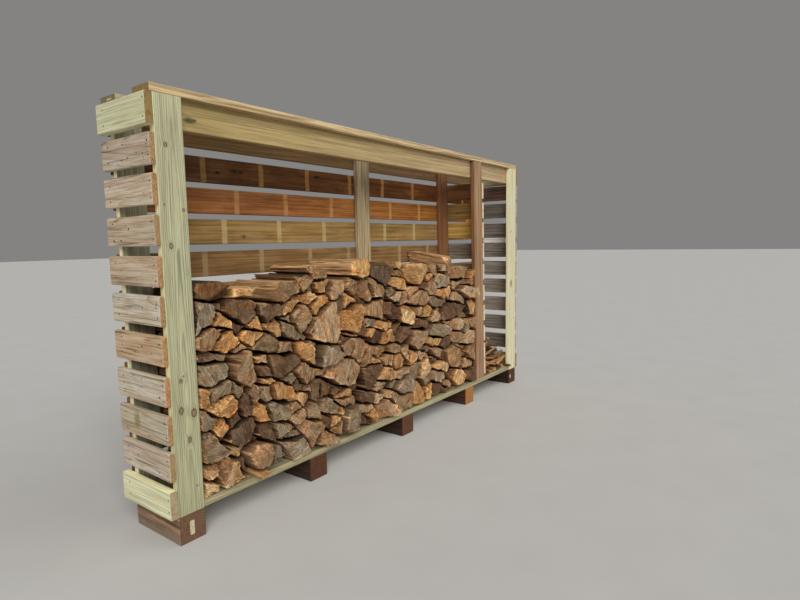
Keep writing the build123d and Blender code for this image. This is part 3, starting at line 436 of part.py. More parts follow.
# ---------------------------------------------------------------- kindling
# Small splits in crossed layers that step back from the front of the narrow
# bay.  One row is: centre (x, y, z), length, turn about Z, lean, outline
# across the grain.
STICKS = [
    (3070.5, 172.2, 198.9, 306, 90.0, 0, [(-21.5, -6.1), (-8.6, -20.5), (19.4, -16.4), (21.5, 6.1), (4.3, 20.5), (-15.1, 12.3)]),
    (3118.6, 172.0, 196.5, 312, 89.5, 0, [(-21.5, -18.1), (21.5, -18.1), (4.3, 18.1)]),
    (3171.8, 173.3, 196.7, 320, 89.9, 0, [(-26.7, -5.5), (-10.7, -18.3), (24.0, -14.6), (26.7, 5.5), (5.3, 18.3), (-18.7, 11.0)]),
    (3224.0, 174.0, 195.7, 310, 90.2, 0, [(-20.6, -17.3), (20.6, -13.8), (15.4, 17.3), (-16.5, 14.7)]),
    (3270.0, 167.0, 197.0, 300, 89.7, 0, [(-20.3, -18.6), (20.3, -14.9), (15.2, 18.6), (-16.3, 15.8)]),
    (3322.6, 173.1, 199.1, 320, 89.7, 0, [(-27.3, -20.7), (27.3, -20.7), (5.5, 20.7)]),
    (3382.1, 174.4, 199.6, 307, 89.5, 0, [(-27.3, -6.4), (-10.9, -21.2), (24.5, -17.0), (27.3, 6.4), (5.5, 21.2), (-19.1, 12.7)]),
    (3439.3, 178.3, 196.5, 309, 90.4, 0, [(-24.9, -18.1), (24.9, -18.1), (5.0, 18.1)]),
    (3500.5, 136, 191.4, 328, 90, 0, [(-12.0, -13.0), (12.0, -10.4), (9.0, 13.0), (-9.6, 11.0)]),
    (3278.3, 70, 249.1, 431, 0.5, 0, [(-18.5, -6.0), (-7.4, -20.1), (16.7, -16.0), (18.5, 6.0), (3.7, 20.1), (-13.0, 12.0)]),
    (3283.4, 125, 250.1, 437, -0.6, 0, [(-19.7, -6.3), (-7.9, -21.1), (17.8, -16.9), (19.7, 6.3), (3.9, 21.1), (-13.8, 12.7)]),
    (3256.8, 180, 245.7, 290, 0.3, 0, [(-18.2, -16.7), (18.2, -13.4), (13.7, 16.7), (-14.6, 14.2)]),
    (3269.0, 235, 247.5, 428, 0.6, 0, [(-23.0, -5.5), (-9.2, -18.5), (20.7, -14.8), (23.0, 5.5), (4.6, 18.5), (-16.1, 11.1)]),
    (3273.5, 290, 248.8, 428, -0.5, 0, [(-15.5, -19.8), (14.0, -19.8), (15.5, 9.9), (-4.6, 19.8)]),
    (3300.5, 330, 246.3, 394, 0.1, 0, [(-13.0, -17.3), (13.0, -17.3), (2.6, 17.3)]),
    (3077.9, 206.1, 298.2, 215, 90.4, 0, [(-29.9, -22.2), (29.9, -22.2), (6.0, 22.2)]),
    (3136.5, 201.2, 295.5, 224, 89.7, 0, [(-20.8, -19.5), (20.8, -15.6), (15.6, 19.5), (-16.6, 16.5)]),
    (3186.4, 207.4, 294.8, 223, 90.4, 0, [(-21.1, -18.8), (21.1, -15.0), (15.8, 18.8), (-16.9, 15.9)]),
    (3236.8, 207.6, 294.8, 236, 89.6, 0, [(-21.3, -18.8), (19.2, -18.8), (21.3, 9.4), (-6.4, 18.8)]),
    (3286.7, 207.7, 297.1, 239, 89.7, 0, [(-20.7, -21.1), (20.7, -16.9), (15.5, 21.1), (-16.5, 18.0)]),
    (3342.9, 208.8, 298.5, 239, 89.2, 0, [(-27.5, -6.7), (-11.0, -22.5), (24.8, -18.0), (27.5, 6.7), (5.5, 22.5), (-19.3, 13.5)]),
    (3403.9, 208.6, 298.5, 247, 90.4, 0, [(-25.5, -22.5), (22.9, -22.5), (25.5, 11.2), (-7.6, 22.5)]),
    (3464.1, 218.8, 292.2, 232, 89.7, 0, [(-26.7, -4.9), (-10.7, -16.2), (24.1, -12.9), (26.7, 4.9), (5.3, 16.2), (-18.7, 9.7)]),
    (3286.7, 110, 343.1, 377, 0.4, 0, [(-19.7, -18.1), (19.7, -18.1), (3.9, 18.1)]),
    (3285.5, 160, 340.6, 407, 0.5, 0, [(-19.6, -15.6), (19.6, -12.5), (14.7, 15.6), (-15.7, 13.3)]),
    (3280.8, 210, 341.2, 417, -0.3, 0, [(-18.5, -16.2), (18.5, -12.9), (13.9, 16.2), (-14.8, 13.7)]),
    (3295.6, 256, 344.4, 324, -0.2, 0, [(-18.0, -19.4), (18.0, -15.5), (13.5, 19.4), (-14.4, 16.5)]),
    (3272.3, 304, 339.9, 405, -0.6, 0, [(-19.5, -4.5), (-7.8, -14.9), (17.6, -11.9), (19.5, 4.5), (3.9, 14.9), (-13.6, 8.9)]),
    (3076.0, 213.6, 388.4, 207, 89.7, 0, [(-30.0, -5.5), (-12.0, -18.4), (27.0, -14.7), (30.0, 5.5), (6.0, 18.4), (-21.0, 11.0)]),
    (3141.0, 214.5, 387.7, 203, 90.2, 0, [(-27.1, -17.7), (27.1, -17.7), (5.4, 17.7)]),
    (3207.0, 226.7, 386.5, 198, 90.1, 0, [(-31.0, -5.0), (-12.4, -16.5), (27.9, -13.2), (31.0, 5.0), (6.2, 16.5), (-21.7, 9.9)]),
    (3269.6, 234.1, 385.1, 201, 89.8, 0, [(-23.6, -15.1), (21.3, -15.1), (23.6, 7.6), (-7.1, 15.1)]),
    (3327.5, 227.6, 388.0, 210, 90.5, 0, [(-26.3, -18.0), (26.3, -18.0), (5.3, 18.0)]),
    (3390.8, 224.9, 390.8, 188, 90.6, 0, [(-29.1, -20.8), (29.1, -20.8), (5.8, 20.8)]),
    (3450.4, 220.8, 386.0, 221, 90.3, 0, [(-22.5, -4.8), (-9.0, -16.0), (20.2, -12.8), (22.5, 4.8), (4.5, 16.0), (-15.7, 9.6)]),
    (3199.4, 150, 429.3, 272, 0.1, 0, [(-18.5, -12.3), (18.5, -9.9), (13.9, 12.3), (-14.8, 10.5)]),
    (3213.6, 204, 429.7, 320, -0.1, 0, [(-18.5, -12.7), (18.5, -12.7), (3.7, 12.7)]),
    (3211.6, 258, 433.5, 321, -0.3, 0, [(-18.4, -16.5), (18.4, -16.5), (3.7, 16.5)]),
    (3257.5, 312, 431.8, 356, 0.2, 0, [(-18.7, -14.8), (18.7, -14.8), (3.7, 14.8)]),
    (3067.2, 229.5, 475.2, 179, 90.6, 0, [(-23.2, -17.2), (20.9, -17.2), (23.2, 8.6), (-7.0, 17.2)]),
    (3116.8, 229.5, 472.2, 174, 90.1, 0, [(-18.4, -14.2), (18.4, -11.4), (13.8, 14.2), (-14.8, 12.1)]),
    (3161.8, 234.5, 473.2, 190, 90.0, 0, [(-18.5, -4.5), (-7.4, -15.2), (16.6, -12.1), (18.5, 4.5), (3.7, 15.2), (-12.9, 9.1)]),
    (3213.2, 224.0, 470.1, 191, 90.2, 0, [(-24.9, -12.1), (22.4, -12.1), (24.9, 6.0), (-7.5, 12.1)]),
    (3276.0, 222.1, 470.9, 198, 90.0, 0, [(-29.9, -12.9), (29.9, -10.3), (22.4, 12.9), (-23.9, 11.0)]),
    (3341.7, 230.5, 470.0, 205, 90.3, 0, [(-27.8, -12.0), (25.0, -12.0), (27.8, 6.0), (-8.3, 12.0)]),
    (3141.1, 180, 504.3, 167, 0.0, 0, [(-21.5, -6.3), (21.5, -6.3), (4.3, 6.3)]),
    (3130.8, 232, 507.1, 155, -0.4, 0, [(-21.4, -9.1), (19.3, -9.1), (21.4, 4.5), (-6.4, 9.1)]),
    (3145.6, 290, 508.0, 147, -0.6, 0, [(-21.4, -10.0), (21.4, -8.0), (16.0, 10.0), (-17.1, 8.5)]),
    (3168, 33, 274, 240, 0, -16, [(-13.0, -12.0), (13.0, -9.6), (9.8, 12.0), (-10.4, 10.2)]),
    (3412, 34, 264, 180, 0, 17, [(-12.0, -13.0), (12.0, -13.0), (2.4, 13.0)]),
    (3165, 58, 318, 220, 0, -12, [(-15.0, -3.9), (-6.0, -13.0), (13.5, -10.4), (15.0, 3.9), (3.0, 13.0), (-10.5, 7.8)]),
    (3385, 60, 312, 200, 0, 13, [(-13.0, -12.0), (13.0, -9.6), (9.8, 12.0), (-10.4, 10.2)]),
    (3250, 64, 366, 190, 0, 9, [(-14.0, -3.6), (-5.6, -12.0), (12.6, -9.6), (14.0, 3.6), (2.8, 12.0), (-9.8, 7.2)]),
    (3330, 92, 405, 200, 0, -13, [(-12.0, -12.0), (12.0, -9.6), (9.0, 12.0), (-9.6, 10.2)]),
]


def stick(x, y, z, length, turn, lean, outline):
    t, k = math.radians(turn), math.radians(lean)
    along = Vector(math.cos(t) * math.cos(k), math.sin(t) * math.cos(k), math.sin(k))
    side = Vector(-math.sin(t), math.cos(t), 0)
    start = Vector(x - X0, y - Y0, z) - along * (length / 2)
    plane = Plane(origin=start, x_dir=side, z_dir=along)
    return extrude(plane * make_face(Polyline(*outline, close=True)), amount=length)


nodes["kindling_heap"] = [stick(*row) for row in STICKS]

# ---------------------------------------------------------------- files
for name, solids in nodes.items():
    shape = solids[0] if len(solids) == 1 else Compound(children=solids)
    export_step(shape, f"parts/{name}.step")
print(len(nodes), "nodes")
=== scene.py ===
import math
import random

import bpy
import numpy as np
from mathutils import Matrix, Vector


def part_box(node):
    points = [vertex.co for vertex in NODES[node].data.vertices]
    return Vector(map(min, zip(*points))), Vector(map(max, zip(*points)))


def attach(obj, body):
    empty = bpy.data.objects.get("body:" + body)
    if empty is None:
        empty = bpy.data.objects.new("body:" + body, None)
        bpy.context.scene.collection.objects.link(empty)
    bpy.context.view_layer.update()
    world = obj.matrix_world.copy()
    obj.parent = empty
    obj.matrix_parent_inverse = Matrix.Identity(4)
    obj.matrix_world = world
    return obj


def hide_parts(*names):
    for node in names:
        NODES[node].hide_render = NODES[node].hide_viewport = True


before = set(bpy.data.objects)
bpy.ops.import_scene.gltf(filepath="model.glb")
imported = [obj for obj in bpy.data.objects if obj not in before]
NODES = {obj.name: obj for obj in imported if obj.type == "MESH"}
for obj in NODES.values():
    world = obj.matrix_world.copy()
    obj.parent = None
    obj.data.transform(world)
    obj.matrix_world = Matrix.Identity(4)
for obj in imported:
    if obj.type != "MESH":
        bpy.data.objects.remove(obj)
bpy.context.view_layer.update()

# store coordinates in millimetres: x along the store from the near post's
# outer face, y back from the front of the posts, z up from the ground
_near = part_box("post_front_near")[0]
OX, OY = _near.x, _near.y


def C(x, y, z):
    return Vector((OX + x / 1000, OY + y / 1000, z / 1000))


# ------------------------------------------------------------------ camera
def make_camera():
    yaw, pitch, roll = math.radians(53.26), math.radians(-6.193), math.radians(-0.998)
    d = Vector((math.sin(yaw) * math.cos(pitch), math.cos(yaw) * math.cos(pitch), math.sin(pitch)))
    right = Vector((math.cos(yaw), -math.sin(yaw), 0))
    up = right.cross(d)
    c, s = math.cos(roll), math.sin(roll)
    xc, yc = c * right + s * up, -s * right + c * up
    cam = bpy.data.cameras.new("camera")
    cam.sensor_fit = "HORIZONTAL"
    cam.sensor_width = 36
    cam.lens = 24.67
    cam.clip_start = 0.05
    ob = bpy.data.objects.new("camera", cam)
    bpy.context.scene.collection.objects.link(ob)
    m = Matrix((xc, yc, -d)).transposed().to_4x4()
    m.translation = C(-1327.8, -2303.2, 1416.1)
    ob.matrix_world = m
    bpy.context.scene.camera = ob


make_camera()


# ------------------------------------------------------------- mesh builder
class Soup:
    """Vertices, faces and per-point facts of one piece, joined as it grows."""

    def __init__(self):
        self.co, self.wc, self.gax, self.tint, self.tint2 = [], [], [], [], []
        self.faces, self.smooth, self.mat = [], [], []
        self.n = 0

    def add(self, co, wc, gax, tint, tint2, faces, smooth, mat=0):
        co = np.asarray(co, float)
        k = len(co)
        self.co.append(co)
        self.wc.append(np.asarray(wc, float))
        self.gax.append(np.tile(np.asarray(gax, float), (k, 1)))
        t = np.asarray(tint, float)
        self.tint.append(t if t.ndim == 2 else np.tile(t, (k, 1)))
        t = np.asarray(tint2, float)
        self.tint2.append(t if t.ndim == 2 else np.tile(t, (k, 1)))
        self.faces += [tuple(i + self.n for i in f) for f in faces]
        self.smooth += list(smooth)
        self.mat += [mat] * len(faces)
        self.n += k

    def build(self, name, mats, replaces=(), sharp=None):
        me = bpy.data.meshes.new(name)
        co = np.concatenate(self.co)
        me.from_pydata([tuple(v) for v in co], [], self.faces)
        for m in mats:
            me.materials.append(m)
        me.polygons.foreach_set("use_smooth", self.smooth)
        me.polygons.foreach_set("material_index", self.mat)
        for key, data in (("wc", self.wc), ("gax", self.gax)):
            a = me.attributes.new(key, "FLOAT_VECTOR", "POINT")
            a.data.foreach_set("vector", np.concatenate(data).astype(np.float32).ravel())
        for key, data in (("tint", self.tint), ("tint2", self.tint2)):
            a = me.attributes.new(key, "FLOAT_COLOR", "POINT")
            rgb = np.concatenate(data)
            a.data.foreach_set(
                "color", np.hstack([rgb, np.ones((len(rgb), 1))]).astype(np.float32).ravel()
            )
        me.update()
        me.validate()
        if sharp is not None:
            me.set_sharp_from_angle(angle=math.radians(sharp))
        ob = bpy.data.objects.new(name, me)
        bpy.context.scene.collection.objects.link(ob)
        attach(ob, "root")
        if replaces:
            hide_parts(*replaces)
        return ob


def loose_parts(node):
    """The separate closed parts of a CAD node, as arrays of corner points."""
    me = NODES[node].data
    co = np.array([v.co[:] for v in me.vertices])
    key = {}
    rep = np.zeros(len(co), int)
    for i, p in enumerate(np.round(co, 6)):
        rep[i] = key.setdefault(tuple(p), i)
    parent = list(range(len(co)))

    def find(i):
        while parent[i] != i:
            parent[i] = parent[parent[i]]
            i = parent[i]
        return i

    for p in me.polygons:
        v = [rep[i] for i in p.vertices]
        for a in v[1:]:
            parent[find(a)] = find(v[0])
    groups = {}
    for i in set(rep.tolist()):
        groups.setdefault(find(i), []).append(i)
    parts = [co[sorted(g)] for g in groups.values()]
    parts.sort(key=lambda p: tuple(np.round(p.mean(0), 4)))
    return parts


def box_of(p):
    """Centre, (grain, width, thickness) axes and half sizes of a box's corners."""
    c = (p.max(0) + p.min(0)) / 2
    ref = p[0]
    d = p - ref
    ln = np.linalg.norm(d, axis=1)
    order = np.argsort(ln)
    ax = []
    for i in order[1:]:
        v = d[i] / ln[i]
        if all(abs(v @ a[0]) < 1e-3 for a in ax):
            ax.append((v, ln[i]))
        if len(ax) == 3:
            break
    ax.sort(key=lambda a: -a[1])
    c = ref + sum(a[0] * a[1] / 2 for a in ax)
    e = [a[0] for a in ax]
    for k in range(3):  # each axis points the positive way
        j = int(np.argmax(np.abs(e[k])))
        if e[k][j] < 0:
            e[k] = -e[k]
    return c, e, [a[1] / 2 for a in ax]


def wave(rng, n=3):
    """A smooth seeded function of one number, between about -1 and 1."""
    terms = [(rng.uniform(0.6, 2.6) * (i + 1), rng.uniform(0, 6.28), 1 / (i + 1)) for i in range(n)]
    s = sum(t[2] for t in terms)
    return lambda x: sum(a * math.sin(f * x + p) for f, p, a in terms) / s


def add_board(S, c, ax, h, rng, r=0.004, endr=0.0015, bow=0.0012, pith=None, tint=(1, 1, 1),
              tint2=(1, 1, 1), step=0.11, wear=0.0005, mat=0, seg=3, off=None):
    """A sawn timber with rounded edges, worn corners and a slight bow.

    tint is one colour, or a pair of colours for its two ends.
    """
    c, (g, u, w) = np.asarray(c), ax
    L, a, b = h
    r = min(r, a * 0.9, b * 0.9)
    quarter = [math.pi / 2 * k / seg for k in range(seg + 1)]
    ring, flat = [], []
    for qx, qy, a0 in ((1, 1, 0), (-1, 1, math.pi / 2), (-1, -1, math.pi), (1, -1, 3 * math.pi / 2)):
        for k, t in enumerate(quarter):
            ring.append((qx * (a - r) + r * math.cos(a0 + t), qy * (b - r) + r * math.sin(a0 + t)))
            flat.append(k == seg)  # the edge from this point to the next is a face of the timber
    ring = np.array(ring)
    n = len(ring)
    m = max(3, int(round(2 * L / step)))
    inner = np.linspace(-L + endr * 1.6, L - endr * 1.6, m)
    ss = [-L, -L + endr * 0.35, *inner, L - endr * 0.35, L]
    ins = [endr, endr * 0.35, *([0] * m), endr * 0.35, endr]
    bu, bw = wave(rng), wave(rng)
    corner = [wave(rng, 4) for _ in range(4)]
    if pith is None:
        pith = (rng.uniform(-0.5, 0.5) * a * 2, (rng.choice([-1, 1])) * rng.uniform(0.02, 0.09))
    if off is None:
        off = rng.uniform(-15, 15)
    co, wc = [], []
    for s, i in zip(ss, ins):
        env = max(0.0, 1 - (abs(s) / L) ** 2)
        du, dw = bow * bu(s * 1.4) * env, bow * bw(s * 1.4) * env
        for k, (pu, pw) in enumerate(ring):
            q = k // (seg + 1)
            wr = wear * (0.5 + 0.5 * corner[q](s * 9))
            pu2 = math.copysign(max(abs(pu) - i - wr, 0), pu) + du
            pw2 = math.copysign(max(abs(pw) - i - wr, 0), pw) + dw
            co.append(c + g * s + u * pu2 + w * pw2)
            wc.append((s + off, pu2 - pith[0], pw2 - pith[1]))
    faces, smooth = [], []
    for j in range(len(ss) - 1):
        for k in range(n):
            k2 = (k + 1) % n
            faces.append((j * n + k, j * n + k2, (j + 1) * n + k2, (j + 1) * n + k))
            smooth.append(not flat[k])
    for j, sgn in ((0, -1), (len(ss) - 1, 1)):
        s = ss[j]
        co.append(c + g * s)
        wc.append((s + off, -pith[0], -pith[1]))
        cen = len(co) - 1
        for k in range(n):
            k2 = (k + 1) % n
            f = (cen, j * n + k2, j * n + k) if sgn < 0 else (cen, j * n + k, j * n + k2)
            faces.append(f)
            smooth.append(False)
    if not isinstance(tint[0], (int, float)):
        f = np.clip(((np.array(co) - c) @ np.asarray(g) / L + 1) / 2, 0, 1)[:, None]
        tint = np.array(tint[0]) * (1 - f) + np.array(tint[1]) * f
    # keep faces looking outward whatever the handedness of the axes
    if np.dot(np.cross(g, u), w) < 0:
        faces = [tuple(reversed(f)) for f in faces]
    S.add(co, wc, g, tint, tint2, [tuple(reversed(f)) for f in faces], smooth, mat)


# ---------------------------------------------------------------- materials
class Nodes:
    """Short names for making shader nodes."""

    def __init__(self, name):
        self.mat = bpy.data.materials.new(name)
        self.mat.use_nodes = True
        self.t = self.mat.node_tree
        self.t.nodes.clear()
        self.out = self.t.nodes.new("ShaderNodeOutputMaterial")
        self.bsdf = self.t.nodes.new("ShaderNodeBsdfPrincipled")
        self.t.links.new(self.bsdf.outputs[0], self.out.inputs[0])

    def put(self, sock, v):
        if isinstance(v, bpy.types.NodeSocket):
            self.t.links.new(v, sock)
        elif v is not None:
            if sock.type == "RGBA" and len(v) == 3:
                v = (*v, 1)
            sock.default_value = v

    def math(self, op, a, b=None, c=None, clamp=False):
        n = self.t.nodes.new("ShaderNodeMath")
        n.operation = op
        n.use_clamp = clamp
        for s, v in zip(n.inputs, (a, b, c)):
            self.put(s, v)
        return n.outputs[0]

    def vec(self, op, a, b=None):
        n = self.t.nodes.new("ShaderNodeVectorMath")
        n.operation = op
        self.put(n.inputs[0], a)
        if b is not None:
            self.put(n.inputs[1], b)
        return n.outputs["Value"] if op in ("LENGTH", "DOT_PRODUCT", "DISTANCE") else n.outputs[0]

    def scale(self, a, k):
        return self.vec("MULTIPLY", a, k if not isinstance(k, (int, float)) else (k, k, k))

    def sep(self, v):
        n = self.t.nodes.new("ShaderNodeSeparateXYZ")
        self.put(n.inputs[0], v)
        return n.outputs

    def comb(self, x=0.0, y=0.0, z=0.0):
        n = self.t.nodes.new("ShaderNodeCombineXYZ")
        for s, v in zip(n.inputs, (x, y, z)):
            self.put(s, v)
        return n.outputs[0]

    def mix(self, f, a, b, blend="MIX"):
        n = self.t.nodes.new("ShaderNodeMix")
        n.data_type = "RGBA"
        n.blend_type = blend
        n.clamp_factor = True
        self.put(n.inputs[0], f)
        self.put(n.inputs[6], a)
        self.put(n.inputs[7], b)
        return n.outputs[2]

    def step(self, v, lo, hi, a=0.0, b=1.0, smooth=True):
        n = self.t.nodes.new("ShaderNodeMapRange")
        n.interpolation_type = "SMOOTHSTEP" if smooth else "LINEAR"
        n.clamp = True if not smooth else n.clamp
        for s, x in zip(n.inputs, (v, lo, hi, a, b)):
            self.put(s, x)
        return n.outputs[0]

    def noise(self, v, scale=1.0, detail=2.0, rough=0.5, dist=0.0, color=False):
        n = self.t.nodes.new("ShaderNodeTexNoise")
        self.put(n.inputs["Vector"], v)
        n.inputs["Scale"].default_value = scale
        n.inputs["Detail"].default_value = detail
        n.inputs["Roughness"].default_value = rough
        n.inputs["Distortion"].default_value = dist
        return n.outputs["Color" if color else "Fac"]

    def voronoi(self, v, scale=1.0, feature="F1", rand=1.0):
        n = self.t.nodes.new("ShaderNodeTexVoronoi")
        n.feature = feature
        self.put(n.inputs["Vector"], v)
        n.inputs["Scale"].default_value = scale
        n.inputs["Randomness"].default_value = rand
        return n

    def attr(self, name, what="Vector"):
        n = self.t.nodes.new("ShaderNodeAttribute")
        n.attribute_name = name
        return n.outputs[what]

    def normal(self):
        return self.t.nodes.new("ShaderNodeNewGeometry").outputs["True Normal"]

    def position(self):
        return self.t.nodes.new("ShaderNodeNewGeometry").outputs["Position"]

    def bump(self, h, strength, dist):
        n = self.t.nodes.new("ShaderNodeBump")
        self.put(n.inputs["Height"], h)
        n.inputs["Strength"].default_value = strength
        n.inputs["Distance"].default_value = dist
        self.t.links.new(n.outputs[0], self.bsdf.inputs["Normal"])

    def finish(self, color, rough, spec=0.25):
        self.put(self.bsdf.inputs["Base Color"], color)
        self.put(self.bsdf.inputs["Roughness"], rough)
        self.bsdf.inputs["Specular IOR Level"].default_value = spec
        return self.mat


def wood(name, early, late, stain, dark=(0.05, 0.03, 0.02), ring=120.0, contrast=0.7, stain_amt=0.4,
         fibre_amt=0.3, end=None, knots=(), knot_rate=0.5, knot_size=(0.004, 0.013), stripes=None,
         stripe_color=(0.5, 0.4, 0.25), rough=0.82, bump=0.35, warp=0.022, blot=(2.0, 9.0), checks=0.0,
         stain_lo=0.45, stain_hi=0.75, taper=0.010, streak=0.35, painted_side_shading=None, low=None, patches=(),
         line=(0.30, 0.84), heart=None, painted_top_light=None, pale=None, marks=()):
    """Sawn softwood: growth rings around a wandering pith, fibres, knots and stains.

    knots are (along, across, radius, stretch) on the wide face, in metres in the
    piece's own wc frame.  stripes are (board range, centres) of pale marks.
    low is (height, spread, amount, colour) of a stain that rises from below.
    heart is the colour inside a knot, pale (amount, colour) bleached blotches,
    and marks are (point, sizes, amount, colour) of single stains.
    """
    g = Nodes(name)
    wc = g.attr("wc")
    x, y, z = g.sep(wc)
    lift = None
    core_all = None
    halo_all = None
    heart_all = None

    def add_knot(dist, size, amount):
        nonlocal lift, core_all, halo_all, heart_all
        e = g.math("DIVIDE", dist, size)
        push = g.math("MULTIPLY", g.math("EXPONENT", g.math("MULTIPLY", g.math("MULTIPLY", e, e), -0.22)), amount)
        lift = push if lift is None else g.math("ADD", lift, push)
        core = g.step(e, 1.12, 0.80)
        if heart is not None:
            inner = g.step(e, 0.78, 0.45)
            heart_all = inner if heart_all is None else g.math("MAXIMUM", heart_all, inner)
        halo = g.step(e, 2.3, 0.9)
        core_all = core if core_all is None else g.math("MAXIMUM", core_all, core)
        halo_all = halo if halo_all is None else g.math("MAXIMUM", halo_all, halo)

    for kx, ky, kr, ks in knots:
        p = g.comb(g.math("MULTIPLY", g.math("SUBTRACT", x, kx), 1 / ks), g.math("SUBTRACT", y, ky), 0.0)
        wob = g.noise(g.vec("ADD", wc, (3.3, 1.7, 0.4)), 120, 2, color=True)
        p = g.vec("ADD", p, g.scale(g.vec("SUBTRACT", wob, (0.5, 0.5, 0.5)), kr * 0.5))
        add_knot(g.vec("LENGTH", p), kr, 0.010)
    if knot_rate > 0:
        kv = g.comb(g.math("MULTIPLY", x, 0.8), y, g.math("MULTIPLY", z, 0.25))
        vo = g.voronoi(kv, 4.2)
        dist = g.math("MULTIPLY", vo.outputs["Distance"], 1 / 4.2)
        cr, cg, cb = g.sep(vo.outputs["Color"])
        size = g.math("ADD", knot_size[0], g.math("MULTIPLY", cg, knot_size[1] - knot_size[0]))
        keep = g.math("GREATER_THAN", cr, 1 - knot_rate)
        size = g.math("MULTIPLY", g.math("MAXIMUM", keep, 0.02), size)
        add_knot(dist, size, g.math("MULTIPLY", keep, 0.009))
    w1 = g.noise(g.comb(g.math("MULTIPLY", x, 0.9), g.math("MULTIPLY", y, 3.0), g.math("MULTIPLY", z, 3.0)), 1.0, 2, color=True)
    w2 = g.noise(g.comb(g.math("MULTIPLY", x, 6), g.math("MULTIPLY", y, 30), g.math("MULTIPLY", z, 30)), 1.0, 2, color=True)
    p = g.vec("ADD", wc, g.scale(g.vec("SUBTRACT", w1, (0.5, 0.5, 0.5)), (0, warp * 2, warp * 2)))
    p = g.vec("ADD", p, g.scale(g.vec("SUBTRACT", w2, (0.5, 0.5, 0.5)), (0, 0.005, 0.005)))
    r = g.math("ADD", g.vec("LENGTH", g.scale(p, (0, 1, 1))), g.math("MULTIPLY", x, taper))
    if lift is not None:
        r = g.math("ADD", r, lift)
    ph = g.math("FRACT", g.math("MULTIPLY", r, ring))
    band = g.math("MULTIPLY", g.step(ph, line[0], line[1]), g.step(ph, 0.995, 0.90))
    vary = g.noise(g.comb(g.math("MULTIPLY", x, 1.5), g.math("MULTIPLY", y, 22), g.math("MULTIPLY", z, 22)), 1.0, 2)
    band = g.math("MULTIPLY", band, g.step(vary, 0.3, 0.7, 0.35, 1.0))
    fib = g.noise(g.comb(g.math("MULTIPLY", x, 9), g.math("MULTIPLY", y, 420), g.math("MULTIPLY", z, 420)), 1.0, 3, 0.6)
    stk = g.noise(g.comb(g.math("MULTIPLY", x, 1.6), g.math("MULTIPLY", y, 75), g.math("MULTIPLY", z, 75)), 1.0, 3, 0.6)
    col = g.mix(g.math("MULTIPLY", band, contrast), early, late)
    bl = g.noise(g.comb(g.math("MULTIPLY", x, blot[0]), g.math("MULTIPLY", y, blot[1]), g.math("MULTIPLY", z, blot[1])), 1.0, 5, 0.6)
    col = g.mix(g.math("MULTIPLY", g.step(bl, stain_lo, stain_hi), stain_amt), col, stain)
    if pale is not None:
        pn = g.noise(g.vec("ADD", g.comb(g.math("MULTIPLY", x, 3.1), g.math("MULTIPLY", y, 15), g.math("MULTIPLY", z, 15)), (5.1, 8.3, 2.9)), 1.0, 5, 0.65)
        col = g.mix(g.math("MULTIPLY", g.step(pn, 0.46, 0.66), pale[0]), col, pale[1])
    col = g.mix(streak, col, g.mix(g.step(stk, 0.32, 0.68), (0.18, 0.17, 0.16), (0.86, 0.86, 0.86)), "OVERLAY")
    col = g.mix(fibre_amt, col, g.mix(g.step(fib, 0.3, 0.7), (0.25, 0.25, 0.25), (0.95, 0.95, 0.95)), "OVERLAY")
    if checks:
        ck = g.noise(g.comb(g.math("MULTIPLY", x, 2.2), g.math("MULTIPLY", y, 120), g.math("MULTIPLY", z, 120)), 1.0, 1, 0.4)
        col = g.mix(g.math("MULTIPLY", g.step(ck, 0.64, 0.71), checks), col, dark)
    if core_all is not None:
        col = g.mix(g.math("MULTIPLY", halo_all, 0.45), col, stain)
        col = g.mix(g.math("MULTIPLY", core_all, 0.85), col, dark)
        if heart_all is not None:
            col = g.mix(g.math("MULTIPLY", heart_all, 0.75), col, heart)
    for px_, py_, ra, sx, amount, colour in patches:
        d = g.vec("LENGTH", g.comb(g.math("MULTIPLY", g.math("SUBTRACT", x, px_), 1 / sx), g.math("SUBTRACT", y, py_), 0.0))
        d = g.math("ADD", d, g.math("MULTIPLY", g.math("SUBTRACT", stk, 0.5), ra * 1.6))
        col = g.mix(g.math("MULTIPLY", g.step(d, ra, ra * 0.3), amount), col, colour)
    if stripes:
        pos = g.position()
        px, py, pz = g.sep(pos)
        tot = None
        for (z0, z1), xs in stripes:
            inz = g.math("MULTIPLY", g.math("GREATER_THAN", pz, z0), g.math("LESS_THAN", pz, z1))
            wob = g.math("MULTIPLY", g.math("SUBTRACT", g.noise(g.comb(g.math("MULTIPLY", px, 2), 0.0, g.math("MULTIPLY", pz, 14)), 1.0, 2), 0.5), 0.012)
            near = None
            for cx, hw in xs:
                d = g.math("ABSOLUTE", g.math("SUBTRACT", g.math("ADD", px, wob), cx))
                m = g.step(d, hw + 0.004, hw - 0.004)
                near = m if near is None else g.math("MAXIMUM", near, m)
            near = g.math("MULTIPLY", near, inz)
            tot = near if tot is None else g.math("MAXIMUM", tot, near)
        front = g.math("LESS_THAN", g.sep(g.normal())[1], -0.5)
        fade = g.step(g.noise(g.scale(pos, (9, 9, 30)), 1.0, 3), 0.25, 0.55, 0.45, 1.0)
        col = g.mix(g.math("MULTIPLY", g.math("MULTIPLY", tot, fade), g.math("MULTIPLY", front, 0.75)), col, stripe_color)
    if low is not None:
        pz = g.sep(g.position())[2]
        dn = g.noise(g.scale(g.position(), (14, 14, 9)), 1.0, 4)
        up = g.math("ADD", pz, g.math("MULTIPLY", g.math("SUBTRACT", dn, 0.5), low[1]))
        col = g.mix(g.math("MULTIPLY", g.step(up, low[0] + low[1] * 0.4, low[0] - low[1] * 0.4), low[2]), col, low[3])
    for mp, ms, amount, colour in marks:
        d = g.vec("LENGTH", g.vec("DIVIDE", g.vec("SUBTRACT", g.position(), tuple(mp)), ms))
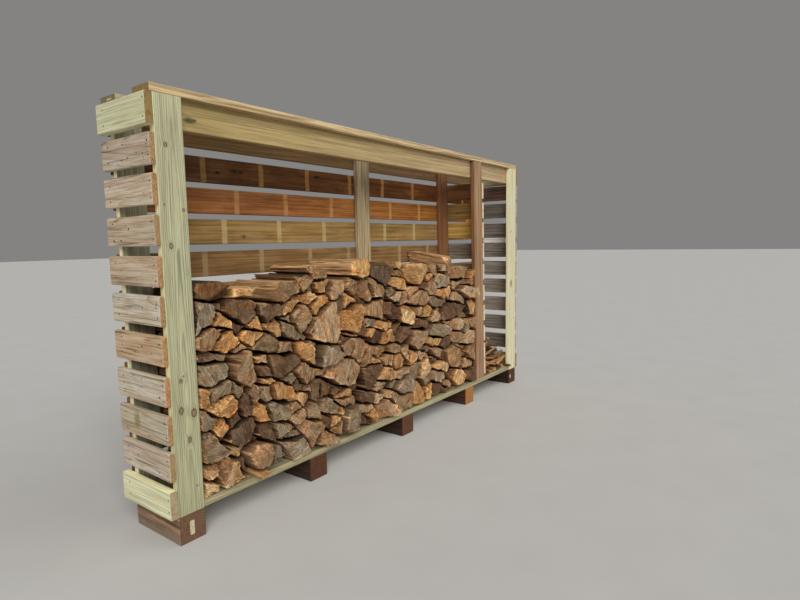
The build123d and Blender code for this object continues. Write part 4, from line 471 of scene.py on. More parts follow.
        d = g.math("ADD", d, g.math("MULTIPLY", g.math("SUBTRACT", g.noise(g.scale(g.position(), (60, 60, 60)), 1.0, 3), 0.5), 1.2))
        col = g.mix(g.math("MULTIPLY", g.step(d, 1.1, 0.35), amount), col, colour)
    # painted top light: faces that look up are made lighter
    if painted_top_light is not None:
        col = g.mix(g.step(g.sep(g.normal())[2], 0.6, 0.9), col, g.mix(1.0, col, painted_top_light, "MULTIPLY"))
    # painted side light and shade: faces that look along x are made lighter or darker for how light falls on them
    if painted_side_shading is not None:
        side = g.step(g.math("ABSOLUTE", g.sep(g.normal())[0]), 0.6, 0.9)
        col = g.mix(side, col, g.mix(1.0, col, painted_side_shading, "MULTIPLY"))
    col = g.mix(1.0, col, g.attr("tint", "Color"), "MULTIPLY")
    # sawn ends
    endm = g.step(g.math("ABSOLUTE", g.vec("DOT_PRODUCT", g.normal(), g.attr("gax"))), 0.6, 0.85)
    ering = g.math("FRACT", g.math("MULTIPLY", g.vec("LENGTH", g.scale(wc, (0, 1, 1))), ring))
    esaw = g.noise(g.comb(0.0, g.math("MULTIPLY", y, 60), g.math("MULTIPLY", z, 300)), 1.0, 2)
    eb = g.noise(g.scale(wc, (0, 35, 35)), 1.0, 4, 0.6)
    ebase = end or early
    ecol = g.mix(g.math("MULTIPLY", g.step(ering, 0.3, 0.85), 0.45), ebase, tuple(0.55 * v for v in ebase))
    ecol = g.mix(g.step(esaw, 0.4, 0.7, 0.0, 0.35), ecol, dark)
    ecol = g.mix(g.step(eb, 0.45, 0.7, 0.0, 0.5), ecol, g.mix(1.0, ecol, (0.55, 0.45, 0.36), "MULTIPLY"))
    ecol = g.mix(1.0, ecol, g.attr("tint2", "Color"), "MULTIPLY")
    col = g.mix(endm, col, ecol)
    hgt = g.math("ADD", g.math("MULTIPLY", band, 0.6), g.math("MULTIPLY", fib, 0.5))
    hgt = g.math("ADD", hgt, g.math("MULTIPLY", stk, 0.6))
    if core_all is not None:
        hgt = g.math("ADD", hgt, g.math("MULTIPLY", core_all, 0.8))
    g.bump(hgt, bump, 0.0014)
    rg = g.step(fib, 0.2, 0.8, rough - 0.06, min(1.0, rough + 0.1))
    return g.finish(col, rg)


def firewood_material():
    """Split logs.  tint is the colour of the sawn ends, tint2 that of the sides."""
    g = Nodes("firewood_split")
    wc = g.attr("wc")
    x, y, z = g.sep(wc)  # x along the log, y and z across it with the pith at the origin
    endc, sidec = g.attr("tint", "Color"), g.attr("tint2", "Color")
    endm = g.step(g.math("ABSOLUTE", g.vec("DOT_PRODUCT", g.normal(), g.attr("gax"))), 0.72, 0.9)
    wob = g.noise(g.scale(wc, (4, 26, 26)), 1.0, 3, color=True)
    q = g.vec("ADD", wc, g.scale(g.vec("SUBTRACT", wob, (0.5, 0.5, 0.5)), (0, 0.02, 0.02)))
    r = g.vec("LENGTH", g.scale(q, (0, 1, 1)))
    ring = g.math("FRACT", g.math("MULTIPLY", r, 130))
    ringm = g.math("MULTIPLY", g.step(ring, 0.35, 0.85), g.step(ring, 1.0, 0.9))
    ang = g.math("ARCTAN2", z, y)
    ray = g.noise(g.comb(g.math("MULTIPLY", ang, 6.5), g.math("MULTIPLY", r, 9), g.math("MULTIPLY", x, 0.3)), 1.0, 3, 0.65, 0.3)
    crack = g.step(ray, 0.62, 0.67)
    big = g.noise(g.scale(wc, (3, 13, 30)), 1.0, 3, 0.55)
    mid = g.noise(g.vec("ADD", g.scale(wc, (9, 30, 88)), (7.7, 2.1, 5.3)), 1.0, 3, 0.6)
    spot = g.noise(g.vec("ADD", g.scale(wc, (20, 55, 150)), (1.7, 9.1, 4.3)), 1.0, 3, 0.6)
    fine = g.noise(g.scale(wc, (60, 330, 330)), 1.0, 4, 0.7)
    saw = g.noise(g.comb(g.math("MULTIPLY", x, 5), g.math("MULTIPLY", z, 230), g.math("MULTIPLY", y, 14)), 1.0, 2, 0.55)
    dk = g.mix(1.0, endc, (0.40, 0.30, 0.22), "MULTIPLY")
    lt = g.mix(1.0, endc, (1.65, 1.55, 1.35), "MULTIPLY")
    e = g.mix(g.math("MULTIPLY", ringm, 0.30), endc, dk)
    e = g.mix(g.step(big, 0.40, 0.66, 0, 0.75), e, dk)
    e = g.mix(g.step(mid, 0.52, 0.70, 0, 0.75), e, lt)
    e = g.mix(g.step(spot, 0.56, 0.72, 0, 0.6), e, dk)
    e = g.mix(g.step(saw, 0.42, 0.62, 0, 0.55), e, g.mix(1.0, endc, (0.34, 0.25, 0.18), "MULTIPLY"))
    warm = g.noise(g.vec("ADD", g.scale(wc, (3, 17, 17)), (9.2, 4.4, 1.1)), 1.0, 3, 0.55)
    e = g.mix(g.step(warm, 0.46, 0.66, 0, 0.75), e, g.mix(1.0, e, (1.12, 0.80, 0.52), "MULTIPLY"))
    e = g.mix(g.math("MULTIPLY", crack, 0.8), e, (0.03, 0.017, 0.010))
    # sides: torn fibres that run along the log
    fb = g.noise(g.comb(g.math("MULTIPLY", x, 6), g.math("MULTIPLY", y, 120), g.math("MULTIPLY", z, 120)), 1.0, 4, 0.62, 0.2)
    fb2 = g.noise(g.comb(g.math("MULTIPLY", x, 2.2), g.math("MULTIPLY", y, 40), g.math("MULTIPLY", z, 40)), 1.0, 3, 0.6)
    pat = g.noise(g.scale(wc, (11, 24, 24)), 1.0, 4, 0.6)
    sdk = g.mix(1.0, sidec, (0.34, 0.25, 0.18), "MULTIPLY")
    slt = g.mix(1.0, sidec, (1.5, 1.4, 1.25), "MULTIPLY")
    s = g.mix(g.step(fb, 0.35, 0.65, 0, 0.85), slt, sdk)
    s = g.mix(g.step(fb2, 0.45, 0.7, 0, 0.7), s, sdk)
    s = g.mix(g.step(pat, 0.50, 0.68, 0, 0.65), s, g.mix(1.0, sidec, (1.15, 0.95, 0.75), "MULTIPLY"))
    s = g.mix(g.step(fb, 0.66, 0.73, 0, 0.75), s, (0.022, 0.013, 0.009))
    col = g.mix(endm, s, e)
    col = g.mix(g.step(fine, 0.35, 0.7, 0.0, 0.4), col, g.mix(1.0, col, (0.55, 0.5, 0.45), "MULTIPLY"))
    he = g.math("ADD", g.math("MULTIPLY", saw, 1.5), g.math("MULTIPLY", crack, -1.2))
    he = g.math("ADD", he, g.math("MULTIPLY", mid, 0.7))
    hs = g.math("ADD", g.math("MULTIPLY", fb, -2.4), g.math("MULTIPLY", fb2, -1.8))
    h = g.t.nodes.new("ShaderNodeMix")
    h.data_type = "FLOAT"
    g.put(h.inputs[0], endm)
    g.put(h.inputs[2], hs)
    g.put(h.inputs[3], he)
    g.bump(g.math("ADD", h.outputs[0], g.math("MULTIPLY", fine, 0.35)), 0.62, 0.005)
    return g.finish(col, g.step(fine, 0.2, 0.8, 0.78, 0.95), 0.2)


def plain(name, base, other, scale=40.0, rough=0.5, metal=0.0, spec=0.4, bump=0.1):
    """A paint, plastic or metal with small mottling."""
    g = Nodes(name)
    p = g.position()
    n = g.noise(p, scale, 4, 0.6)
    n2 = g.noise(p, scale * 9, 3, 0.6)
    col = g.mix(g.step(n, 0.35, 0.7), base, other)
    g.bsdf.inputs["Metallic"].default_value = metal
    g.bump(g.math("ADD", n, g.math("MULTIPLY", n2, 0.4)), bump, 0.0006)
    return g.finish(col, g.step(n2, 0.3, 0.7, rough, min(1, rough + 0.15)), spec)


def on(node, p, pith):
    """A point of the store (mm) in a single timber's own grain frame."""
    lo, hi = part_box(node)
    d = C(*p) - (lo + hi) / 2
    dims = sorted(((hi - lo)[k], k) for k in range(3))[::-1]
    return d[dims[0][1]], d[dims[1][1]] - pith[0]


# new pressure-treated timber, pale green-yellow with grey-green rings
PITH_NEAR, PITH_FAR, PITH_HEAD = (0.010, -0.045), (-0.02, -0.05), (-0.055, -0.05)
# the near post gets painted light on its side faces
M_POST_NEAR = wood("post_near_wood", (0.50, 0.48, 0.30), (0.17, 0.165, 0.115), (0.36, 0.32, 0.19), dark=(0.085, 0.05, 0.025),
                   ring=125, contrast=0.8, stain_amt=0.35, knot_rate=0.0, warp=0.010, fibre_amt=0.3, taper=0.016, streak=0.22, line=(0.45, 0.85),
                   heart=(0.36, 0.27, 0.14), painted_side_shading=(1.8, 1.7, 1.55),
                   knots=[(*on("post_front_near", (x, 0, z), PITH_NEAR), r / 1000, s) for x, z, r, s in (
                       (48, 1855, 10, 1.2), (25, 1593, 5, 1.1), (118, 1571, 8, 1.1), (46, 1409, 10, 1.5), (53, 786, 9, 1.2),
                       (67, 806, 5, 1.0), (45, 646, 12.5, 1.6), (110, 620, 16, 1.4), (80, 497, 11, 1.35), (103, 262, 4, 1.5))])
# the far post gets painted light on its side faces
M_POST_FAR = wood("post_far_wood", (0.72, 0.66, 0.40), (0.50, 0.46, 0.27), (0.60, 0.50, 0.28), dark=(0.13, 0.08, 0.04),
                  ring=110, contrast=0.6, stain_amt=0.3, knot_rate=0.0, warp=0.014, fibre_amt=0.2, painted_side_shading=(1.5, 1.44, 1.43),
                  knots=[(*on("post_front_far", (x, 0, z), PITH_FAR), r / 1000, 1.2) for x, z, r in (
                      (3534, 1478, 7), (3560, 1490, 5), (3610, 640, 5))],
                  patches=[(*on("post_front_far", (3562, 0, 985), PITH_FAR), 0.026, 2.2, 0.8, (0.16, 0.15, 0.085))])
# the new treated wood gets painted light on its upward faces
M_NEW = wood("new_treated_wood", (0.60, 0.575, 0.355), (0.40, 0.385, 0.225), (0.48, 0.40, 0.22), dark=(0.14, 0.07, 0.03),
             ring=115, contrast=0.6, stain_amt=0.4, knot_rate=0.40, knot_size=(0.003, 0.008), fibre_amt=0.22, end=(0.44, 0.25, 0.105), heart=(0.30, 0.17, 0.08),
             painted_top_light=(1.28, 1.22, 1.12))
# the back posts: the new treated wood painted about half as dark as shade, with painted light on their side faces
M_BACKPOST_SHADED = wood("back_post_wood", (0.30, 0.29, 0.19), (0.16, 0.15, 0.10), (0.22, 0.19, 0.12), dark=(0.06, 0.04, 0.025),
                  ring=115, contrast=0.6, stain_amt=0.4, knot_rate=0.40, painted_side_shading=(2.9, 2.8, 2.7))
M_BEAM = wood("beam_wood", (0.50, 0.345, 0.165), (0.34, 0.22, 0.10), (0.55, 0.35, 0.15), dark=(0.05, 0.03, 0.018),
              ring=105, contrast=0.5, stain_amt=0.4, knot_rate=0.0, fibre_amt=0.16, taper=0.006, warp=0.016,
              patches=[(*on("header_front", (196, 38, 1988), PITH_HEAD), 0.020, 2.4, 0.85, (0.055, 0.045, 0.025)),
                       (*on("header_front", (225, 38, 1992), PITH_HEAD), 0.008, 2.0, 0.8, (0.05, 0.03, 0.018))])
M_PLATE = wood("top_plate_wood", (0.50, 0.375, 0.20), (0.24, 0.15, 0.07), (0.42, 0.27, 0.12), dark=(0.08, 0.04, 0.02),
               ring=120, contrast=0.75, stain_amt=0.5, knot_rate=0.3, streak=0.6, end=(0.36, 0.24, 0.11))
M_PLATE_BACK = wood("back_plate_wood", (0.42, 0.36, 0.21), (0.20, 0.17, 0.10), (0.24, 0.19, 0.10), dark=(0.06, 0.04, 0.02),
                    ring=120, contrast=0.6, stain_amt=0.6, knot_rate=0.3, end=(0.27, 0.235, 0.13))
# the back header: the beam wood painted about 0.6 as dark as shade
M_BEAM_BACK_SHADED = wood("back_beam_wood", (0.30, 0.195, 0.095), (0.16, 0.095, 0.04), (0.22, 0.13, 0.06), dark=(0.05, 0.025, 0.012),
                   ring=105, contrast=0.6, stain_amt=0.5, knot_rate=0.35)
M_FLOOR = wood("floor_wood", (0.52, 0.46, 0.27), (0.26, 0.23, 0.13), (0.33, 0.24, 0.13), dark=(0.12, 0.07, 0.03),
               ring=120, contrast=0.6, stain_amt=0.65, knot_rate=0.3, blot=(3.5, 14))
M_GREY = wood("grey_deck_wood", (0.58, 0.49, 0.38), (0.20, 0.135, 0.085), (0.44, 0.31, 0.20), dark=(0.045, 0.03, 0.02),
              ring=58, contrast=0.72, stain_amt=0.65, fibre_amt=0.42, knot_rate=0.45, knot_size=(0.005, 0.011),
              end=(0.54, 0.32, 0.145), warp=0.040, checks=0.55, rough=0.9, bump=0.7, blot=(2.0, 9.0), streak=0.27, taper=0.03,
              line=(0.62, 0.93), heart=(0.22, 0.14, 0.085), pale=(0.55, (0.68, 0.63, 0.56)),
              marks=[(C(-28, 268, 575), (0.05, 0.032, 0.055), 0.7, (0.24, 0.25, 0.09))])
M_FARIN = wood("far_end_wood", (0.215, 0.18, 0.15), (0.085, 0.065, 0.052), (0.11, 0.082, 0.062), dark=(0.02, 0.013, 0.01),
               ring=85, contrast=0.55, stain_amt=0.6, fibre_amt=0.3, knot_rate=0.6, knot_size=(0.006, 0.014), end=(0.66, 0.47, 0.34),
               warp=0.034, checks=0.6, rough=0.9, bump=0.5, streak=0.5, taper=0.02)
M_PART = wood("partition_deck_wood", (0.32, 0.19, 0.065), (0.17, 0.09, 0.03), (0.22, 0.13, 0.05), dark=(0.04, 0.02, 0.01),
              ring=100, contrast=0.6, stain_amt=0.5, knot_rate=0.35, end=(0.95, 0.78, 0.52), streak=0.5)
# the front brown post gets painted shade on its side faces
M_BROWNPOST = wood("brown_post_wood", (0.40, 0.245, 0.145), (0.25, 0.14, 0.08), (0.30, 0.155, 0.085), dark=(0.06, 0.03, 0.02),
                   ring=120, contrast=0.6, stain_amt=0.5, knot_rate=0.2, knot_size=(0.003, 0.007), painted_side_shading=(0.72, 0.56, 0.41), streak=0.5)
M_BROWNPOST2 = wood("brown_back_post_wood", (0.22, 0.095, 0.04), (0.12, 0.045, 0.02), (0.30, 0.16, 0.055), dark=(0.04, 0.016, 0.01),
                    ring=120, contrast=0.6, stain_amt=0.6, knot_rate=0.3, streak=0.5)
M_MIDPOST = wood("weathered_post_wood", (0.44, 0.345, 0.205), (0.22, 0.17, 0.10), (0.20, 0.165, 0.10), dark=(0.05, 0.035, 0.02),
                 ring=100, contrast=0.7, stain_amt=0.6, knot_rate=0.3, streak=0.6)
# sleeper 1 gets painted light on its side faces; the other sleepers are the same wood with painted shade on their side
# faces
M_SLEEPER = wood("sleeper_wood", (0.20, 0.115, 0.07), (0.10, 0.052, 0.032), (0.30, 0.185, 0.105), dark=(0.025, 0.014, 0.01),
                 ring=80, contrast=0.7, stain_amt=0.6, knot_rate=0.2, end=(0.135, 0.062, 0.036), rough=0.92, bump=0.6,
                 blot=(6.0, 13.0), checks=0.5, streak=0.6, low=(0.035, 0.05, 0.6, (0.22, 0.17, 0.12)), painted_side_shading=(1.30, 1.5, 1.65))
M_SLEEPER_SHADED_SIDES = wood("brown_sleeper_wood", (0.20, 0.115, 0.07), (0.10, 0.052, 0.032), (0.30, 0.185, 0.105), dark=(0.025, 0.014, 0.01),
                  ring=80, contrast=0.7, stain_amt=0.6, knot_rate=0.2, end=(0.135, 0.062, 0.036), rough=0.92, bump=0.6,
                  blot=(6.0, 13.0), checks=0.5, streak=0.6, low=(0.035, 0.05, 0.6, (0.22, 0.17, 0.12)), painted_side_shading=(0.22, 0.20, 0.20))


def back_stripes():
    xs = {1: [492, 888, 1271, 1691, 2069, 2475, 2905, 3300],
          2: [703, 1077, 1494, 2165, 2566, 300, 2990, 3390],
          3: [609, 1015, 1414, 2092, 2488, 210, 2920, 3340],
          4: [473, 867, 1276, 1660, 2280, 2690, 3100], 5: [310, 720, 1130, 1540, 2170, 2580, 2990],
          6: [500, 910, 1320, 1950, 2360, 2770, 3180], 7: [390, 800, 1210, 1880, 2290, 2700],
          8: [610, 1020, 1430, 2060, 2470, 2880]}
    tops = sorted(((p[:, 2].min(), p[:, 2].max()) for p in loose_parts("back_slats")), reverse=True)
    return [((float(z0) - 0.002, float(z1) + 0.002), [(OX + v / 1000, 0.017) for v in xs[i]])
            for i, (z0, z1) in enumerate(tops, 1) if i in xs]


STRIPES = back_stripes()
M_BACK1 = wood("back_board_red", (0.16, 0.057, 0.018), (0.105, 0.035, 0.010), (0.085, 0.034, 0.012), dark=(0.020, 0.009, 0.006),
               ring=95, contrast=0.5, stain_amt=0.75, knot_rate=0.5, fibre_amt=0.18, blot=(5.0, 16.0),
               marks=[(C(583, 385.8, 1812), (0.020, 0.03, 0.013), 0.9, (0.016, 0.008, 0.006)),
                      (C(692, 385.8, 1830), (0.042, 0.03, 0.013), 0.8, (0.022, 0.010, 0.008)),
                      (C(742, 385.8, 1826), (0.022, 0.03, 0.010), 0.85, (0.020, 0.009, 0.007)),
                      (C(1359, 385.8, 1851), (0.028, 0.03, 0.012), 0.9, (0.016, 0.008, 0.006))],
               stripes=STRIPES[:1], stripe_color=(0.54, 0.29, 0.11), streak=0.45, pale=(0.5, (0.30, 0.135, 0.05)))
M_BACK2 = wood("back_board_gold", (0.32, 0.183, 0.060), (0.215, 0.115, 0.034), (0.20, 0.105, 0.033), dark=(0.04, 0.02, 0.008),
               ring=95, contrast=0.5, stain_amt=0.65, knot_rate=0.45, fibre_amt=0.18, blot=(5.0, 16.0),
               marks=[(C(742, 385.8, 1456), (0.024, 0.03, 0.015), 0.7, (0.075, 0.038, 0.014))],
               stripes=STRIPES[1:8], stripe_color=(0.56, 0.42, 0.19), streak=0.45, pale=(0.4, (0.44, 0.29, 0.13)))
M_STRIP = plain("white_strip", (0.96, 0.95, 0.93), (0.92, 0.91, 0.88), 30, 0.42)
M_SCREW = plain("screw_head", (0.10, 0.085, 0.07), (0.05, 0.04, 0.035), 300, 0.45, 0.7)
M_HOLE = plain("nail_hole", (0.012, 0.009, 0.007), (0.02, 0.014, 0.01), 300, 0.95)
M_TAG = plain("blank_tag", (0.66, 0.58, 0.40), (0.46, 0.37, 0.22), 90, 0.5)
M_FIRE = firewood_material()


# ------------------------------------------------------------------ timbers
def timber(node, mat, slot, seed, **kw):
    """One detailed timber, or a set of them, in place of a CAD node."""
    S = Soup()
    rng = random.Random(seed)
    tints = kw.pop("tints", None)
    ends = kw.pop("ends", None)
    mats = mat if isinstance(mat, list) else [mat]
    pick = kw.pop("pick", None)
    parts = loose_parts(node)
    parts.sort(key=lambda p: -p[:, 2].mean())
    for i, p in enumerate(parts):
        c, ax, h = box_of(p)
        if tints:
            t = tints[i % len(tints)]
        else:
            k = rng.uniform(0.92, 1.06)
            t = (k * rng.uniform(0.98, 1.02), k, k * rng.uniform(0.97, 1.03))
        e = ends[i % len(ends)] if ends else (1, 1, 1)
        add_board(S, c, ax, h, rng, tint=t, tint2=e, mat=pick[i] if pick else 0, **kw)
    return S.build(node.replace("_slats", "_boards") + "_wood", mats, [node])


timber("post_front_near", M_POST_NEAR, "new_post_wood", 101, r=0.0062, pith=PITH_NEAR, off=0, step=0.12, tints=[((0.82, 0.84, 0.80), (1.04, 1.06, 1.08))])
timber("post_front_far", M_POST_FAR, "new_post_wood", 102, r=0.006, pith=PITH_FAR, off=0, tints=[(0.96, 1.0, 1.08)])
timber("post_back_near", M_BACKPOST_SHADED, "new_post_wood", 103, r=0.006)
timber("post_back_far", M_BACKPOST_SHADED, "new_post_wood", 104, r=0.006)
timber("post_back_middle", M_MIDPOST, "weathered_post_wood", 105, r=0.006, tints=[(0.98, 0.98, 0.98)])
timber("post_back_partition", M_BROWNPOST2, "brown_post_wood", 106, r=0.006, tints=[(1.12, 1.18, 1.2)])
timber("post_front_partition", M_BROWNPOST, "brown_post_wood", 107, r=0.006, tints=[(0.84, 0.84, 0.80)])
# the front header is painted darker at its near end and lighter at its far end, as shade and light along it
timber("header_front", M_BEAM, "beam_wood", 108, r=0.0045, pith=PITH_HEAD, off=0, tints=[((0.80, 0.89, 0.76), (0.96, 1.03, 1.26))])
# the back header is painted darker still towards its near end, as shade along it
timber("header_back", M_BEAM_BACK_SHADED, "beam_wood", 109, r=0.004, tints=[((0.48, 0.41, 0.28), (0.92, 0.90, 0.92))])
timber("top_plate_front", M_PLATE, "beam_wood", 110, r=0.003)
timber("top_plate_back", M_PLATE_BACK, "beam_wood", 111, r=0.003)
timber("end_rail_near_top", M_NEW, "new_post_wood", 112, r=0.006, tints=[(1.16, 1.20, 1.26)], ends=[(0.80, 0.95, 0.9)])
timber("end_rail_near_bottom", M_NEW, "new_post_wood", 113, r=0.006, tints=[(1.34, 1.38, 1.45)], ends=[(1.12, 1.55, 2.2)])
timber("end_rail_far_top", M_NEW, "new_post_wood", 114, r=0.006, tints=[(0.8, 0.75, 0.65)])
timber("end_rail_far_bottom", M_NEW, "new_post_wood", 115, r=0.006)
for i in range(1, 6):
    timber(f"sleeper_{i}", M_SLEEPER if i == 1 else M_SLEEPER_SHADED_SIDES, "sleeper_wood", 120 + i, r=0.005, endr=0.004, bow=0, step=0.07, wear=0.0012,
           tints=[[(1.0, 0.95, 0.9), (1.0, 1.0, 1.0), (0.85, 0.8, 0.8), (1.3, 1.2, 1.1), (0.75, 0.65, 0.6)][i - 1]],
           ends=[[(1.5, 1.8, 1.75), (0.9, 0.8, 0.66), (1.1, 1.0, 0.9), (3.5, 3.25, 1.65), (0.9, 0.8, 0.75)][i - 1]])
for n, s in (("front", 131), ("middle", 132), ("rear", 133)):
    timber(f"floor_board_{n}", M_FLOOR, "floor_wood", s, r=0.006, tints=[(0.72, 0.72, 0.72)])
timber("near_end_slats", M_GREY, "grey_deck_wood", 140, r=0.006, endr=0.005, step=0.05, wear=0.0012,
       tints=[(0.88, 0.82, 0.77), (1.02, 0.95, 0.87), (0.93, 0.86, 0.78), (0.97, 0.88, 0.78), (1.02, 1.03, 1.0),
              (0.97, 0.82, 0.67), (1.02, 1.02, 1.0), (0.90, 0.88, 0.80), (0.98, 0.95, 0.93)],
       ends=[(0.9, 0.95, 1.0), (1.0, 0.95, 0.95), (0.85, 0.9, 0.95), (1.0, 1.0, 1.0), (0.9, 0.95, 1.0), (1.05, 1.0, 0.9),
             (1.1, 0.95, 0.9), (0.95, 0.95, 0.95), (0.85, 0.95, 0.9)])
timber("far_end_slats", M_FARIN, "grey_deck_wood", 141, r=0.006, endr=0.003, step=0.05, wear=0.0012,
       tints=[(1.40, 1.06, 1.12), (1.28, 1.42, 1.55), (1.25, 1.27, 1.38), (1.44, 1.58, 1.8), (1.5, 1.62, 1.7), (1.65, 1.75, 1.8),
              (1.8, 1.85, 1.95), (1.27, 1.42, 1.52), (1.2, 1.25, 1.3)])
timber("partition_slats", [M_PART, M_FARIN], "partition_deck_wood", 142, r=0.006, endr=0.003, step=0.06,
       pick=[0, 0, 0, 1, 1, 1, 0, 1, 0, 1],
       tints=[(0.80, 0.66, 0.80), (1.15, 1.26, 1.26), (2.0, 2.2, 1.72), (1.45, 1.5, 1.5), (1.4, 1.4, 1.3),
              (1.8, 1.8, 1.9), (1.5, 1.5, 1.5), (1.7, 1.7, 1.8), (1.4, 1.4, 1.4), (1.5, 1.5, 1.5)],
       ends=[(1.0, 1.0, 1.0), (1.02, 1.02, 1.02), (0.95, 0.93, 0.92), (1.45, 1.62, 1.72), (1.35, 1.5, 1.6),
             (1.45, 1.62, 1.72), (1.0, 1.0, 1.0), (1.4, 1.55, 1.62), (0.98, 1.0, 1.0), (1.4, 1.5, 1.55)])
# boards with a pair of tints are painted darker at the near end and lighter at the far end, as shade and light along
# them
timber("back_slats", [M_BACK1, M_BACK2], "brown_deck_wood", 143, r=0.005, endr=0.003, step=0.12,
       pick=[0, 1, 1, 1, 1, 0, 1, 1, 1, 0],
       tints=[((0.42, 0.48, 0.49), (1.35, 1.26, 0.90)), ((0.86, 0.57, 0.58), (1.40, 0.94, 0.50)), (1.01, 1.07, 1.08),
              ((0.66, 0.64, 0.68), (0.92, 0.90, 1.02)), (0.95, 0.9, 0.85), (0.95, 0.95, 0.95),
              (1.1, 0.8, 0.7), (0.8, 0.76, 0.75), (1, 1, 1), (0.9, 0.9, 0.9)])


# --------------------------------------------------------------- white strip
def strip():
    """Two rounded lips with a groove between them, along the gap."""
    lo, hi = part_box("far_end_gap_strip")
    S = Soup()
    n = 40
    zc = (lo.z + hi.z) / 2
    hz = (hi.z - lo.z) / 2
    prof = []
    for i in range(n):
        t = 2 * math.pi * i / n
        v = math.sin(t)
        zz = hz * math.copysign(abs(v) ** 0.7, v)
        groove = math.exp(-((zz / (hz * 0.22)) ** 2)) * 0.008
        xx = ((hi.x - lo.x) / 2 - groove) * math.copysign(abs(math.cos(t)) ** 0.35, math.cos(t))
        prof.append((xx, zz))
    xc = (lo.x + hi.x) / 2
    ys = np.linspace(lo.y, hi.y, 14)
    co, wc = [], []
    for y in ys:
        for px, pz in prof:
            co.append((xc + px, y, zc + pz))
            wc.append((y, px, pz))
    faces = []
    for j in range(len(ys) - 1):
        for k in range(n):
            k2 = (k + 1) % n
            faces.append((j * n + k, (j + 1) * n + k, (j + 1) * n + k2, j * n + k2))
    smooth = [True] * len(faces)
    for j, y in ((0, ys[0]), (len(ys) - 1, ys[-1])):
        co.append((xc, y, zc))
        wc.append((y, 0, 0))
        for k in range(n):
            k2 = (k + 1) % n
            faces.append((len(co) - 1, j * n + k, j * n + k2) if j == 0 else (len(co) - 1, j * n + k2, j * n + k))
            smooth.append(False)
    S.add(co, wc, (0, 1, 0), (1, 1, 1), (1, 1, 1), faces, smooth)
    S.build("far_end_gap_strip_white", [M_STRIP], ["far_end_gap_strip"])


strip()


# ----------------------------------------------------------------- fasteners
def discs(name, spots, mat, r, depth=0.0006, recess=0.0):
    """Small round heads or holes on a face: (point, outward normal, scale)."""
    S = Soup()
    n = 12
    for p, nrm, k in spots:
        p, nrm = np.array(p), np.array(nrm, float)
        t = np.cross(nrm, (0, 0, 1) if abs(nrm[2]) < 0.9 else (1, 0, 0))
        t /= np.linalg.norm(t)
        b = np.cross(nrm, t)
        co = []
        for rr, hh in ((1.0, -0.0008), (1.0, depth * 0.6), (0.86, depth), (0.45, depth - recess)):
            for i in range(n):
                a = 2 * math.pi * i / n
                co.append(p + (t * math.cos(a) + b * math.sin(a)) * r * k * rr + nrm * hh)
        co.append(p + nrm * (depth - recess))
        faces = []
        for j in range(3):
            for i in range(n):
                i2 = (i + 1) % n
                faces.append((j * n + i, j * n + i2, (j + 1) * n + i2, (j + 1) * n + i))
        for i in range(n):
            faces.append((3 * n + i, 3 * n + (i + 1) % n, 4 * n))
        if np.dot(np.cross(t, b), nrm) < 0:
            faces = [tuple(reversed(f)) for f in faces]
        S.add(co, np.array(co) * 1.0, nrm, (1, 1, 1), (1, 1, 1), faces, [True] * len(faces))
    return S.build(name, [mat], sharp=35)


